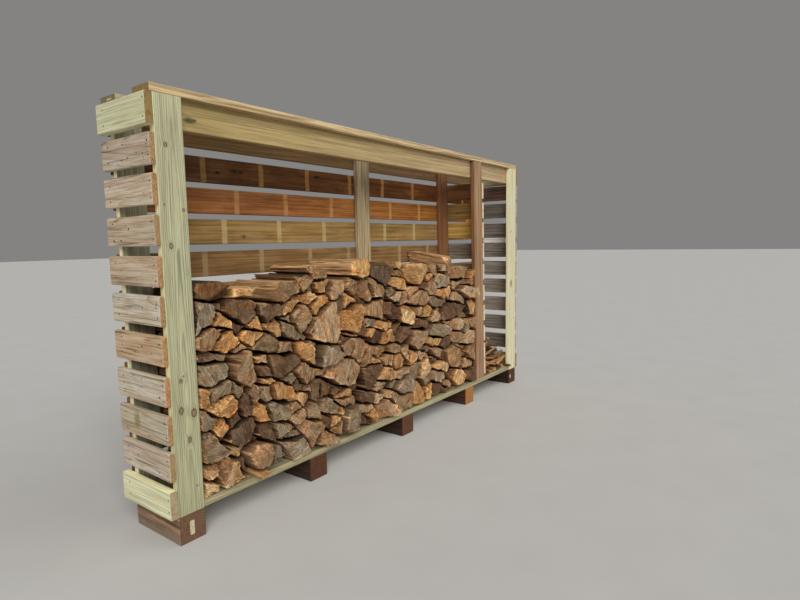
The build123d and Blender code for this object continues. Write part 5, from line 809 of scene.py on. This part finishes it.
def fasteners():
    rng = random.Random(77)
    screws, holes = [], []

    def ends(node, axis_normal, face, cols, dz=0.035, jit=0.006):
        for p in loose_parts(node):
            c, ax, h = box_of(p)
            for y in cols:
                for s in (-1, 1):
                    q = list(c)
                    if axis_normal[0]:
                        q[0] = face
                        q[1] = OY + y + rng.uniform(-jit, jit)
                    else:
                        q[1] = face
                        q[0] = OX + y + rng.uniform(-jit, jit)
                    q[2] = c[2] + s * dz + rng.uniform(-jit, jit)
                    screws.append((q, axis_normal, rng.uniform(0.9, 1.1)))

    nx0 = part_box("near_end_slats")[0].x
    fx1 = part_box("far_end_slats")[1].x
    ends("near_end_slats", (-1, 0, 0), nx0, (0.019, 0.367))
    ends("far_end_slats", (1, 0, 0), fx1, (0.019, 0.367))
    ends("end_rail_near_top", (-1, 0, 0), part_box("end_rail_near_top")[0].x, (0.019, 0.367), 0.04)
    ends("end_rail_near_bottom", (-1, 0, 0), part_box("end_rail_near_bottom")[0].x, (0.019, 0.367), 0.03)
    ends("end_rail_far_top", (1, 0, 0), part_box("end_rail_far_top")[1].x, (0.019, 0.367), 0.04)
    ends("end_rail_far_bottom", (1, 0, 0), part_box("end_rail_far_bottom")[1].x, (0.019, 0.367), 0.03)
    by1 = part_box("back_slats")[1].y
    ends("back_slats", (0, 1, 0), by1, (0.07, 1.80, 2.898, 3.588))
    for p in loose_parts("partition_slats"):
        c, (ga, ua, wa), h = box_of(p)
        for y in (0.019, 0.367):
            for s in (-1, 1):
                q = c + wa * h[2] + ua * (s * 0.035 + rng.uniform(-0.006, 0.006))
                q[1] = OY + y + rng.uniform(-0.006, 0.006)
                screws.append((q, tuple(wa), rng.uniform(0.9, 1.1)))
    # plates from above
    for node, xs in (("top_plate_front", (0.05, 0.6, 1.2, 1.8, 2.4, 2.9, 3.6)), ("top_plate_back", (0.05, 0.6, 1.2, 1.8, 2.4, 2.9, 3.6))):
        lo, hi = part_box(node)
        yc = (OY + 0.057) if "front" in node else (OY + 0.405)
        for x in xs:
            screws.append(((OX + x, yc + rng.uniform(-0.004, 0.004), hi.z), (0, 0, 1), 1))
    # old nail holes scattered over the reused boards
    for node, nrm, face in (("near_end_slats", (-1, 0, 0), nx0), ("far_end_slats", (1, 0, 0), fx1),
                            ("far_end_slats", (-1, 0, 0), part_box("far_end_slats")[0].x)):
        for p in loose_parts(node):
            c, ax, h = box_of(p)
            for _ in range(rng.randint(5, 9)):
                q = [face, c[1] + rng.uniform(-0.19, 0.19), c[2] + rng.uniform(-0.055, 0.055)]
                holes.append((q, nrm, rng.uniform(0.7, 1.5)))
    by0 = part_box("back_slats")[0].y
    for p in loose_parts("back_slats"):
        c, ax, h = box_of(p)
        for _ in range(16):
            holes.append(([OX + rng.uniform(0.15, 3.5), by0, c[2] + rng.choice([-0.045, 0.045]) + rng.uniform(-0.01, 0.01)], (0, -1, 0), rng.uniform(0.6, 1.1)))
    discs("screw_heads", screws, M_SCREW, 0.0036, 0.0008, 0.0009)
    discs("old_nail_holes", holes, M_HOLE, 0.0030, 0.00025, 0.0012)


fasteners()


def tag(name, p0, u, v, nrm, w, h):
    """A small blank plastic tag with rounded corners, stapled flat on a timber end."""
    p0, u, v, nrm = (np.array(k, float) for k in (p0, u, v, nrm))
    ring = []
    r = min(w, h) * 0.18
    for sx, sy, a0 in ((1, 1, 0), (-1, 1, 90), (-1, -1, 180), (1, -1, 270)):
        for k in range(5):
            a = math.radians(a0 + 22.5 * k)
            ring.append((sx * (w / 2 - r) + r * math.cos(a), sy * (h / 2 - r) + r * math.sin(a)))
    n = len(ring)
    co = []
    for kk, d in ((1.0, -0.0002), (1.0, 0.0007), (0.96, 0.0010)):
        for a, b in ring:
            curl = 0.0006 * (b / (h / 2)) ** 2
            co.append(p0 + u * a * kk + v * b * kk + nrm * (d + (curl if d > 0 else 0)))
    co.append(p0 + nrm * 0.0010)
    faces = []
    for j in range(2):
        for i in range(n):
            i2 = (i + 1) % n
            faces.append((j * n + i, j * n + i2, (j + 1) * n + i2, (j + 1) * n + i))
    for i in range(n):
        faces.append((2 * n + i, 2 * n + (i + 1) % n, 3 * n))
    if np.dot(np.cross(u, v), nrm) < 0:
        faces = [tuple(reversed(f)) for f in faces]
    S = Soup()
    S.add(co, co, nrm, (1, 1, 1), (1, 1, 1), faces, [False] * len(faces))
    S.build(name, [M_TAG])


tag("sleeper_tag_near", C(65, 0, 69), (1, 0, 0), (0, 0, 1), (0, -1, 0), 0.024, 0.070)
tag("sleeper_tag_far", C(3546, 0, 71), (1, 0, 0), (0, 0, 1), (0, -1, 0), 0.022, 0.030)
tag("plate_tag", C(-12.7, 348, 2092.5), (0, 1, 0), (0, 0, 1), (-1, 0, 0), 0.040, 0.009)


# ---------------------------------------------------------------- split wood
ENDS = {
    "f": [(0.767, 0.470, 0.196), (0.855, 0.581, 0.283), (0.680, 0.408, 0.175), (0.877, 0.655, 0.365), (0.724, 0.482, 0.230)],
    "t": [(0.525, 0.357, 0.204), (0.585, 0.425, 0.263), (0.464, 0.312, 0.175), (0.626, 0.487, 0.315), (0.444, 0.312, 0.186)],
    "g": [(0.377, 0.306, 0.209), (0.438, 0.369, 0.258), (0.337, 0.266, 0.172), (0.415, 0.350, 0.255), (0.385, 0.330, 0.245)],
    "d": [(0.201, 0.131, 0.078), (0.244, 0.157, 0.092), (0.166, 0.106, 0.068), (0.218, 0.151, 0.100)],
    "m": [(0.427, 0.216, 0.082), (0.349, 0.196, 0.087)],
}
SIDES = {
    "f": [(0.58, 0.32, 0.14), (0.50, 0.27, 0.11), (0.66, 0.40, 0.19)],
    "t": [(0.40, 0.24, 0.13), (0.34, 0.20, 0.11), (0.48, 0.30, 0.175)],
    "g": [(0.27, 0.195, 0.13), (0.32, 0.24, 0.165)],
    "d": [(0.18, 0.105, 0.06), (0.15, 0.09, 0.055)],
    "m": [(0.18, 0.115, 0.07)],
}
BARK = [(0.105, 0.074, 0.052), (0.13, 0.095, 0.067), (0.085, 0.062, 0.046)]

# where each log's middle is in the pile (x, z) and how its wood looks: f fresh,
# t tan and weathered, g grey, d dark, m mottled; then l light smooth side, b bark, s splintered
KINDS = [
    (467, 199, "f"), (372, 205, "f"), (184, 212, "f"), (293, 259, "t"), (388, 265, "d"), (198, 290, "t"),
    (348, 345, "f"), (426, 354, "t"), (210, 403, "g"), (395, 439, "d"), (269, 485, "f"), (349, 522, "d"),
    (178, 557, "g"), (414, 575, "d"), (282, 602, "f"), (473, 627, "t"), (361, 672, "g"), (428, 676, "t"),
    (172, 675, "f"), (269, 691, "g"), (471, 718, "t"), (391, 779, "t"), (226, 782, "g"), (466, 805, "d"),
    (327, 846, "g"), (241, 861, "g"), (164, 868, "d"), (395, 883, "t"), (311, 925, "f"), (456, 932, "f"),
    (205, 955, "t"), (388, 989, "d"), (295, 990, "g"), (299, 1032, "f"), (194, 1073, "g"),
    (412, 1078, "d"), (286, 1108, "d"), (446, 1166, "f"), (255, 1186, "mb"), (644, 196, "g"),
    (545, 217, "d"), (742, 245, "g"), (611, 259, "g"), (478, 290, "t"), (566, 300, "d"), (716, 327, "g"),
    (752, 357, "d"), (652, 379, "g"), (484, 374, "d"), (543, 396, "d"), (772, 416, "t"), (634, 487, "g"),
    (749, 483, "t"), (511, 510, "f"), (780, 596, "d"), (669, 587, "f"), (549, 603, "g"), (720, 655, "g"),
    (564, 673, "f"), (536, 735, "d"), (677, 744, "d"), (530, 799, "f"), (492, 836, "d"), (712, 835, "t"),
    (563, 877, "g"), (678, 893, "d"), (733, 920, "g"), (630, 958, "f"), (505, 990, "f"), (727, 993, "g"),
    (593, 1050, "d"), (750, 1070, "f"), (695, 1158, "tl"), (881, 191, "t"), (1110, 194, "d"),
    (985, 223, "t"), (1097, 250, "t"), (1017, 316, "d"), (871, 307, "t"), (1087, 308, "f"),
    (1128, 356, "f"), (1169, 407, "t"), (1018, 417, "g"), (890, 417, "t"), (1099, 500, "d"),
    (817, 515, "f"), (997, 535, "d"), (913, 547, "d"), (850, 571, "t"), (948, 645, "t"), (833, 665, "t"),
    (1010, 737, "g"), (1125, 751, "d"), (855, 782, "f"), (921, 818, "t"), (848, 869, "g"),
    (1022, 914, "t"), (829, 983, "t"), (972, 1052, "f"), (887, 1096, "f"), (1121, 1126, "t"),
    (867, 1137, "d"), (933, 1154, "g"), (1021, 1156, "f"), (841, 1194, "t"), (973, 1242, "ts"),
    (1347, 189, "d"), (1181, 192, "t"), (1373, 225, "d"), (1292, 225, "d"), (1442, 244, "f"),
    (1201, 286, "g"), (1287, 307, "d"), (1365, 314, "t"), (1275, 388, "g"), (1379, 387, "d"),
    (1438, 429, "d"), (1170, 459, "f"), (1288, 488, "d"), (1430, 528, "d"), (1306, 584, "d"),
    (1145, 606, "t"), (1446, 623, "t"), (1402, 668, "t"), (1321, 718, "t"), (1210, 752, "t"),
    (1164, 805, "d"), (1420, 815, "f"), (1302, 831, "d"), (1224, 829, "t"), (1357, 843, "d"),
    (1427, 882, "g"), (1341, 903, "t"), (1243, 931, "f"), (1347, 1031, "d"), (1151, 1031, "d"),
    (1237, 1049, "f"), (1394, 1099, "t"), (1278, 1132, "t"), (1324, 1246, "fl"), (1805, 249, "t"),
    (1591, 244, "t"), (1505, 352, "t"), (1648, 332, "t"), (1800, 376, "g"), (1667, 412, "g"),
    (1537, 424, "t"), (1771, 471, "t"), (1598, 494, "f"), (1683, 511, "d"), (1733, 562, "f"),
    (1617, 593, "t"), (1508, 605, "f"), (1825, 612, "t"), (1591, 650, "t"), (1690, 663, "t"),
    (1520, 676, "t"), (1805, 740, "d"), (1627, 750, "f"), (1500, 772, "d"), (1714, 808, "d"),
    (1568, 842, "f"), (1733, 847, "d"), (1684, 852, "d"), (1619, 881, "d"), (1678, 927, "d"),
    (1503, 960, "t"), (1742, 965, "d"), (1827, 1001, "t"), (1735, 1025, "t"), (1595, 1035, "d"),
    (1808, 1039, "t"), (1650, 1065, "g"), (1503, 1097, "t"), (1584, 1092, "d"), (1785, 1112, "f"),
    (1656, 1113, "d"), (1791, 1185, "t"), (1568, 1197, "db"), (1790, 1245, "fl"), (2059, 192, "d"),
    (2113, 252, "f"), (1979, 273, "f"), (2060, 302, "d"), (2095, 350, "g"), (1908, 349, "d"),
    (1934, 452, "g"), (2082, 462, "f"), (1823, 530, "t"), (1910, 567, "f"), (2031, 553, "t"),
    (2148, 558, "g"), (2090, 593, "g"), (2057, 628, "d"), (1984, 689, "t"), (1919, 780, "d"),
    (2044, 791, "d"), (2114, 876, "f"), (1860, 879, "f"), (1997, 896, "t"), (2129, 949, "d"),
    (2009, 986, "t"), (1926, 1052, "t"), (2066, 1077, "d"), (2065, 1129, "d"), (2132, 1138, "f"),
    (1964, 1181, "f"), (2144, 1191, "d"), (2274, 189, "d"), (2417, 193, "d"), (2471, 198, "g"),
    (2162, 194, "d"), (2346, 209, "d"), (2389, 254, "t"), (2227, 248, "d"), (2419, 332, "d"),
    (2238, 347, "g"), (2393, 375, "d"), (2291, 418, "f"), (2163, 421, "d"), (2224, 477, "d"),
    (2336, 490, "d"), (2254, 542, "t"), (2373, 604, "d"), (2182, 637, "f"), (2475, 679, "d"),
    (2274, 710, "g"), (2445, 738, "t"), (2293, 776, "d"), (2220, 822, "t"), (2477, 839, "d"),
    (2299, 865, "t"), (2244, 936, "g"), (2388, 926, "g"), (2306, 994, "f"), (2411, 1003, "f"),
    (2178, 1060, "t"), (2345, 1096, "g"), (2225, 1185, "t"), (2323, 1198, "t"), (2734, 187, "d"),
    (2572, 189, "t"), (2661, 202, "g"), (2775, 247, "d"), (2546, 273, "f"), (2843, 328, "t"),
    (2641, 332, "d"), (2748, 349, "t"), (2739, 419, "d"), (2807, 446, "t"), (2528, 452, "t"),
    (2701, 500, "t"), (2574, 542, "g"), (2744, 579, "t"), (2533, 616, "t"), (2688, 674, "g"),
    (2795, 701, "t"), (2576, 720, "t"), (2766, 761, "d"), (2840, 769, "d"), (2684, 795, "g"),
    (2784, 846, "f"), (2687, 888, "d"), (2550, 940, "t"), (2703, 977, "t"), (2536, 1053, "t"),
    (2748, 1060, "t"), (2730, 1129, "f"), (2564, 1150, "t"), (2431, 1222, "tl"),
]


def prism_of(p):
    """The length and direction of a straight prism's axis, from its corner points."""
    best = None
    m = len(p) // 2
    d = p[:, None, :] - p[None, :, :]
    ln = np.linalg.norm(d, axis=2)
    # the axis is the direction that pairs every corner with one other at the same length
    cand = {}
    for i in range(len(p)):
        if ln[0, i] > 1e-6:
            v = d[i, 0]
            # does moving all corners by v land at least half of them on corners?
            q = p + v
            hit = sum(np.min(np.linalg.norm(p - k, axis=1)) < 2e-4 for k in q)
            if hit >= m and (best is None or ln[0, i] > best[0]):
                best = (ln[0, i], v)
    return best


def outline_y(p):
    """The front outline in XZ of a prism that runs back, its ends, and its rise per metre."""
    y0, y1 = p[:, 1].min(), p[:, 1].max()
    q = p[np.abs(p[:, 1] - y0) < 1e-5][:, [0, 2]]
    r = p[np.abs(p[:, 1] - y1) < 1e-5][:, [0, 2]]
    c = q.mean(0)
    slope = (r.mean(0) - c) / (y1 - y0)
    q = q[np.argsort(np.arctan2(q[:, 1] - c[1], q[:, 0] - c[0]))]
    return q, y0, y1, slope


def resample(P, n):
    """n points along a closed outline, with a point at each corner's place."""
    P = np.asarray(P)
    E = np.roll(P, -1, 0) - P
    L = np.linalg.norm(E, axis=1)
    tot = L.sum()
    k = np.maximum(1, np.round(L / tot * n).astype(int))
    while k.sum() > n:
        k[np.argmax(k)] -= 1
    while k.sum() < n:
        k[np.argmax(L / k)] += 1
    out, edge = [], []
    for i in range(len(P)):
        for j in range(k[i]):
            out.append(P[i] + E[i] * (j / k[i]))
            edge.append(i)
    return np.array(out), np.array(edge)


def smooth_ring(Q, w):
    return Q * (1 - w) + (np.roll(Q, 1, 0) + np.roll(Q, -1, 0)) * (w / 2)


def split_log(S, P, y0, y1, rng, kind, a3, u3, w3, o3, n=46, m=9, rough=1.0, open_air=None):
    """A split log: torn sides with ridges along the grain, sawn and broken ends.

    P is the outline in the plane (u3, w3) at o3; the log runs along a3 from y0 to y1.
    open_air(points) tells which outline points have no other log against them.
    """
    side = kind[1:]
    kind = kind[0]
    if side == "s":
        rough = 1.9
    nrng = np.random.RandomState(rng.randint(0, 10**6))
    Q, edge = resample(P, n)
    ne = int(edge.max()) + 1
    c = Q.mean(0)
    size = math.sqrt(abs(0.5 * np.sum(Q[:, 0] * np.roll(Q[:, 1], -1) - np.roll(Q[:, 0], -1) * Q[:, 1])))
    # split faces are a little hollow between the corners
    for k in range(ne):
        idx = np.where(edge == k)[0]
        a, b = Q[idx[0]], Q[(idx[-1] + 1) % n]
        ln = np.linalg.norm(b - a)
        if ln < 1e-6:
            continue
        nv = np.array((-(b - a)[1], (b - a)[0])) / ln
        if (c - (a + b) / 2) @ nv < 0:
            nv = -nv
        deep = ln * rng.uniform(0.0, 0.075)
        peak = rng.uniform(0.3, 0.7)
        for i in idx:
            t = np.linalg.norm(Q[i] - a) / ln
            f = t / peak if t < peak else (1 - t) / (1 - peak)
            Q[i] = Q[i] + nv * deep * math.sin(f * math.pi / 2)
    Q = smooth_ring(Q, 0.10)
    rad = np.linalg.norm(Q - c, axis=1)
    dirv = (Q - c) / rad[:, None]
    ridge = nrng.uniform(0, 1, n) ** 1.7 * min(0.0060, size * 0.06) * rough
    for _ in range(rng.choice((0, 1, 1, 2))):  # a splinter pulled off along the grain
        i0, wd, dp = rng.randrange(n), rng.choice((1, 2, 2, 3)), rng.uniform(0.003, 0.010) * min(1, size / 0.09)
        for i in range(wd):
            ridge[(i0 + i) % n] += dp
    shrink = rng.uniform(0.0010, 0.0048) * min(1.0, size / 0.07)
    around = np.arange(n) * 2 * math.pi / n
    hollow = sum(np.sin(around * f + rng.uniform(0, 6.28)) for f in (2, 3, 4, 7)) / 2.2
    hollow = np.clip(hollow, 0, 1) * min(0.008, size * 0.075)  # where it doesn't touch its neighbours
    base = Q - dirv * (ridge + shrink + hollow)[:, None]
    barky = np.zeros(n)
    if side == "b":
        barky[:] = 1
    elif side == "" and rng.random() < 0.30:
        cnt = [int(np.sum(edge == k)) for k in range(ne)]
        barky[edge == (int(np.argmax(cnt)) if rng.random() < 0.5 else rng.randrange(ne))] = 1
    jag = nrng.uniform(0, 1, n) ** 2 * min(0.005, size * 0.05) * rough
    span = float(np.abs(Q - c).max())
    tilt = np.array([rng.uniform(-0.12, 0.12), rng.uniform(-0.10, 0.10)])
    chips = (nrng.uniform(0, 1, n) > 0.86) * nrng.uniform(0.001, 0.006, n) * rough
    facets = []
    if rough >= 1 and rng.random() < 0.62:
        for _ in range(rng.choice((1, 1, 2))):
            ang = rng.choice((math.pi, math.pi * 0.8, math.pi * 0.5, rng.uniform(0, 6.28))) + rng.uniform(-0.45, 0.45)
            facets.append((np.array((math.cos(ang), math.sin(ang))), size * rng.uniform(0.04, 0.36), rng.uniform(0.4, 1.6)))
    elif rough >= 1 and rng.random() < 0.3:  # a ridge left across the end
        ang = rng.uniform(0, 3.14)
        dv = np.array((math.cos(ang), math.sin(ang)))
        sl = rng.uniform(0.15, 0.4)
        facets += [(dv, 0.0, sl), (-dv, 0.0, sl)]

    def back(q):
        t = (q - c) @ tilt * 0.5 + np.abs(tilt).sum() * span * 0.5 * 0.6 + 0.0006
        for dv, off, sl in facets:
            t = t + np.maximum(0, (q - c) @ dv - off) * sl
        return np.clip(t, 0.0004, 0.075)

    taper = rng.uniform(0.90, 1.0)
    drift = np.array([rng.uniform(-0.003, 0.003), rng.uniform(-0.003, 0.003)])
    off = rng.uniform(-9, 9)
    pa = rng.uniform(0, 6.28)  # the pith lies at or past one edge of a split piece
    pith = c + np.array((math.cos(pa), math.sin(pa))) * size * rng.uniform(0.25, 0.75)
    tcol = np.array(rng.choice(ENDS[kind])) * rng.uniform(0.82, 1.18)
    scol = np.array(rng.choice(SIDES[kind])) * rng.uniform(0.82, 1.18)
    if side == "l":
        scol = np.array((0.40, 0.255, 0.135)) * rng.uniform(0.9, 1.1)
    bcol = np.array(rng.choice(BARK))
    # pale broken rims, partly a painted highlight along the edges, come and go round the end
    turn = np.arange(n) * 2 * math.pi / n
    pale_rim_and_highlight = sum(np.sin(turn * f + rng.uniform(0, 6.28)) / f ** 0.5 for f in (1, 2, 3, 5))
    pale_rim_and_highlight = 0.95 + 0.85 * np.clip(pale_rim_and_highlight / 1.5, 0, 1)
    spin = rng.uniform(0, 3.14)
    cs, sn = math.cos(spin), math.sin(spin)
    co, wc, t1, t2 = [], [], [], []

    def torn(q):
        """How far a point of the end lies on a split-off facet, 0 to 1."""
        f = np.zeros(len(q))
        for dv, off, sl in facets:
            f = np.maximum(f, np.clip(((q - c) @ dv - off) / (size * 0.06), 0, 1) * (off > 0))
        return f

    fcol = scol * rng.uniform(0.8, 1.25)

    def put(q, s, ca, cb):
        co.append(o3 + u3 * q[0] + w3 * q[1] + a3 * s)
        a, b = q[0] - pith[0], q[1] - pith[1]
        wc.append((s + off, a * cs - b * sn, a * sn + b * cs))
        t1.append(ca)
        t2.append(cb)

    ss = np.array([0, 0.05, *np.linspace(0.16, 1, m - 2)])
    free = np.ones(n, bool) if open_air is None else open_air(Q + dirv * 0.022)
    # painted light: open sides that face up or to the left are coloured a lit tan
    painted_sunlit = np.clip(np.maximum(dirv[:, 1], -0.7 * dirv[:, 0]) * 2.0, 0, 1) * free if open_air is not None else np.zeros(n)
    tan = np.array((0.70, 0.475, 0.275)) * rng.uniform(0.75, 1.15)
    rear = nrng.uniform(0, 0.012, n) * (nrng.uniform(0, 1, n) > 0.5)
    for j, s in enumerate(ss):
        k = 1 - (1 - taper) * s
        wv = 1 + 0.012 * math.sin(3.1 * s + pa)
        loc = nrng.uniform(-1, 1, n) * 0.0012 * rough
        amp = 0.35 + 0.65 * abs(math.sin(4.2 * s + pa))
        q = c + (base - c) * (k * min(wv, 1.0)) + drift * s - dirv * (jag * amp * (barky * 0.6 + 0.4) + np.abs(loc))[:, None]
        if j == 0:
            q = q - dirv * (0.0016 + 0.4 * chips)[:, None]
            yf = y0 + back(q) + chips
        yy = yf + (y1 - rear - yf) * s
        shade = nrng.uniform(0.86, 1.14, n)
        for i in range(n):
            sc = bcol if barky[i] else scol * (1 - 0.8 * painted_sunlit[i]) + tan * 0.8 * painted_sunlit[i]
            # painted shade: sides that other logs lie against are darkened further back along the log
            deep = 1.0 if free[i] or j < 1 else (0.75, 0.45, 0.32)[min(j - 1, 2)]
            put(q[i], yy[i], tcol * (pale_rim_and_highlight[i] * shade[i]), sc * (shade[i] * deep * (pale_rim_and_highlight[i] if j < 1 and not barky[i] else 1)))
    faces = []
    for j in range(m - 1):
        for i in range(n):
            i2 = (i + 1) % n
            faces.append((j * n + i, j * n + i2, (j + 1) * n + i2, (j + 1) * n + i))
    first = np.array([((p - o3) @ u3, (p - o3) @ w3) for p in co[:n]])
    prev = 0
    for k in (0.93, 0.80, 0.64, 0.46, 0.26):
        start = len(co)
        q = c + (first - c) * k
        yf2 = y0 + back(q) + nrng.uniform(0, 0.0008, n) * rough
        shade = nrng.uniform(0.82, 1.18, n) * (1 + (pale_rim_and_highlight - 1) * (0.75 if k > 0.9 else 0.2 if k > 0.75 else 0))
        tf = torn(q)
        for i in range(n):
            cc = tcol * (1 - 0.8 * tf[i]) + fcol * 0.8 * tf[i]
            put(q[i], yf2[i], cc * shade[i], scol * shade[i])
        for i in range(n):
            i2 = (i + 1) % n
            faces.append((prev + i2, prev + i, start + i, start + i2))
        prev = start
    put(c, float(y0 + back(c[None, :])[0]), tcol, scol)
    for i in range(n):
        faces.append((prev + (i + 1) % n, prev + i, len(co) - 1))
    last = (m - 1) * n
    put(c + drift, y1 - 0.004, tcol, scol)
    for i in range(n):
        faces.append((last + i, last + (i + 1) % n, len(co) - 1))
    co = np.array(co)
    if np.dot(np.cross(u3, w3), a3) > 0:
        faces = [tuple(reversed(f)) for f in faces]
    S.add(co, wc, a3, t1, t2, [tuple(reversed(f)) for f in faces], [True] * len(faces))


def inside(points, polygon):
    """Which of the points lie inside a closed outline."""
    x, z = points[:, 0][:, None], points[:, 1][:, None]
    ax, az = polygon[:, 0], polygon[:, 1]
    bx, bz = np.roll(ax, -1), np.roll(az, -1)
    cross = ((az > z) != (bz > z)) & (x < (bx - ax) * (z - az) / (bz - az + 1e-12) + ax)
    return cross.sum(1) % 2 == 1


def firewood():
    rings = []
    for i in range(1, 9):
        for p in loose_parts(f"firewood_stack_{i}"):
            P, y0, y1, sl = outline_y(p)
            rings.append(P)

    def clear(points):
        hit = np.zeros(len(points), bool)
        lo, hi = points.min(0), points.max(0)
        for ring in rings:
            if (ring.min(0) <= hi).all() and (ring.max(0) >= lo).all():
                hit |= inside(points, ring)
        return ~hit

    kx = np.array([(k[0], k[1]) for k in KINDS], float)
    for i in range(1, 9):
        node = f"firewood_stack_{i}"
        S = Soup()
        for j, p in enumerate(loose_parts(node)):
            P, y0, y1, sl = outline_y(p)
            cx, cz = (P.mean(0))
            # area centroid, in store millimetres
            x0, z0 = P[:, 0], P[:, 1]
            x1, z1 = np.roll(x0, -1), np.roll(z0, -1)
            cr = x0 * z1 - x1 * z0
            A = cr.sum() / 2
            gx, gz = ((x0 + x1) * cr).sum() / (6 * A), ((z0 + z1) * cr).sum() / (6 * A)
            d = np.hypot(kx[:, 0] - (gx - OX) * 1000, kx[:, 1] - gz * 1000)
            kind = KINDS[int(np.argmin(d))][2]
            rng = random.Random(int(gx * 7919 * 10) ^ int(gz * 104729 * 10))
            a3 = np.array((sl[0], 1.0, sl[1]))  # a log that lies aslant is sheared along its length
            split_log(S, P - sl * y0, y0, y1, rng, kind, a3, np.array((1.0, 0, 0)), np.array((0, 0, 1.0)), np.zeros(3),
                      open_air=lambda q, s=sl * y0, up=sl[1] > 0.02: clear(q + s) | up)
        S.build(f"split_logs_{i}", [M_FIRE], [node], sharp=38)


firewood()


def kindling():
    S = Soup()
    rng = random.Random(404)
    for p in loose_parts("kindling_heap"):
        best = prism_of(p)
        L, v = best
        a = v / L
        s = p @ a
        q = p[s < s.min() + L / 2]
        u = np.cross(a, (0, 0, 1.0))
        u /= np.linalg.norm(u)
        w = np.cross(a, u)
        o = a * 0.0
        pts = np.stack([q @ u, q @ w], 1)
        c = pts.mean(0)
        pts = pts[np.argsort(np.arctan2(pts[:, 1] - c[1], pts[:, 0] - c[0]))]
        s0 = float((q @ a).mean())
        kind = rng.choice("tdfdtd")
        split_log(S, pts, s0, s0 + L, rng, kind, a, u, w, np.zeros(3), n=20, m=7, rough=0.6)
    S.build("kindling_sticks", [M_FIRE], ["kindling_heap"], sharp=38)


kindling()


# ---------------------------------------------------------- floor and lights
def studio():
    g = Nodes("studio_floor")
    n = g.noise(g.position(), 3.0, 4)
    g.finish(g.mix(n, (0.60, 0.59, 0.57), (0.66, 0.65, 0.63)), 0.9, 0.1)
    me = bpy.data.meshes.new("floor")
    s = 60
    me.from_pydata([(-s, -s, 0), (s, -s, 0), (s, s, 0), (-s, s, 0)], [], [(0, 1, 2, 3)])
    me.materials.append(g.mat)
    fl = bpy.data.objects.new("studio_floor", me)
    bpy.context.scene.collection.objects.link(fl)
    w = bpy.data.worlds.new("studio")
    bpy.context.scene.world = w
    w.use_nodes = True
    bg = w.node_tree.nodes["Background"]
    bg.inputs[0].default_value = (0.64, 0.63, 0.615, 1)
    bg.inputs[1].default_value = 0.36
    view = bpy.context.scene.view_settings
    view.view_transform = "Standard"
    view.look = "None"
    view.exposure = 0
    view.gamma = 1

    def sun(name, source, power, angle, color=(1, 1, 1)):
        L = bpy.data.lights.new(name, "SUN")
        L.energy = power
        L.angle = math.radians(angle)
        L.color = color
        ob = bpy.data.objects.new(name, L)
        bpy.context.scene.collection.objects.link(ob)
        ob.rotation_euler = (-Vector(source)).to_track_quat("-Z", "Y").to_euler()

    sun("key", (-0.75, -0.95, 0.85), 2.2, 42, (1.0, 0.985, 0.955))
    sun("fill", (0.9, -1.0, 0.9), 0.55, 60, (0.96, 0.98, 1.0))


studio()
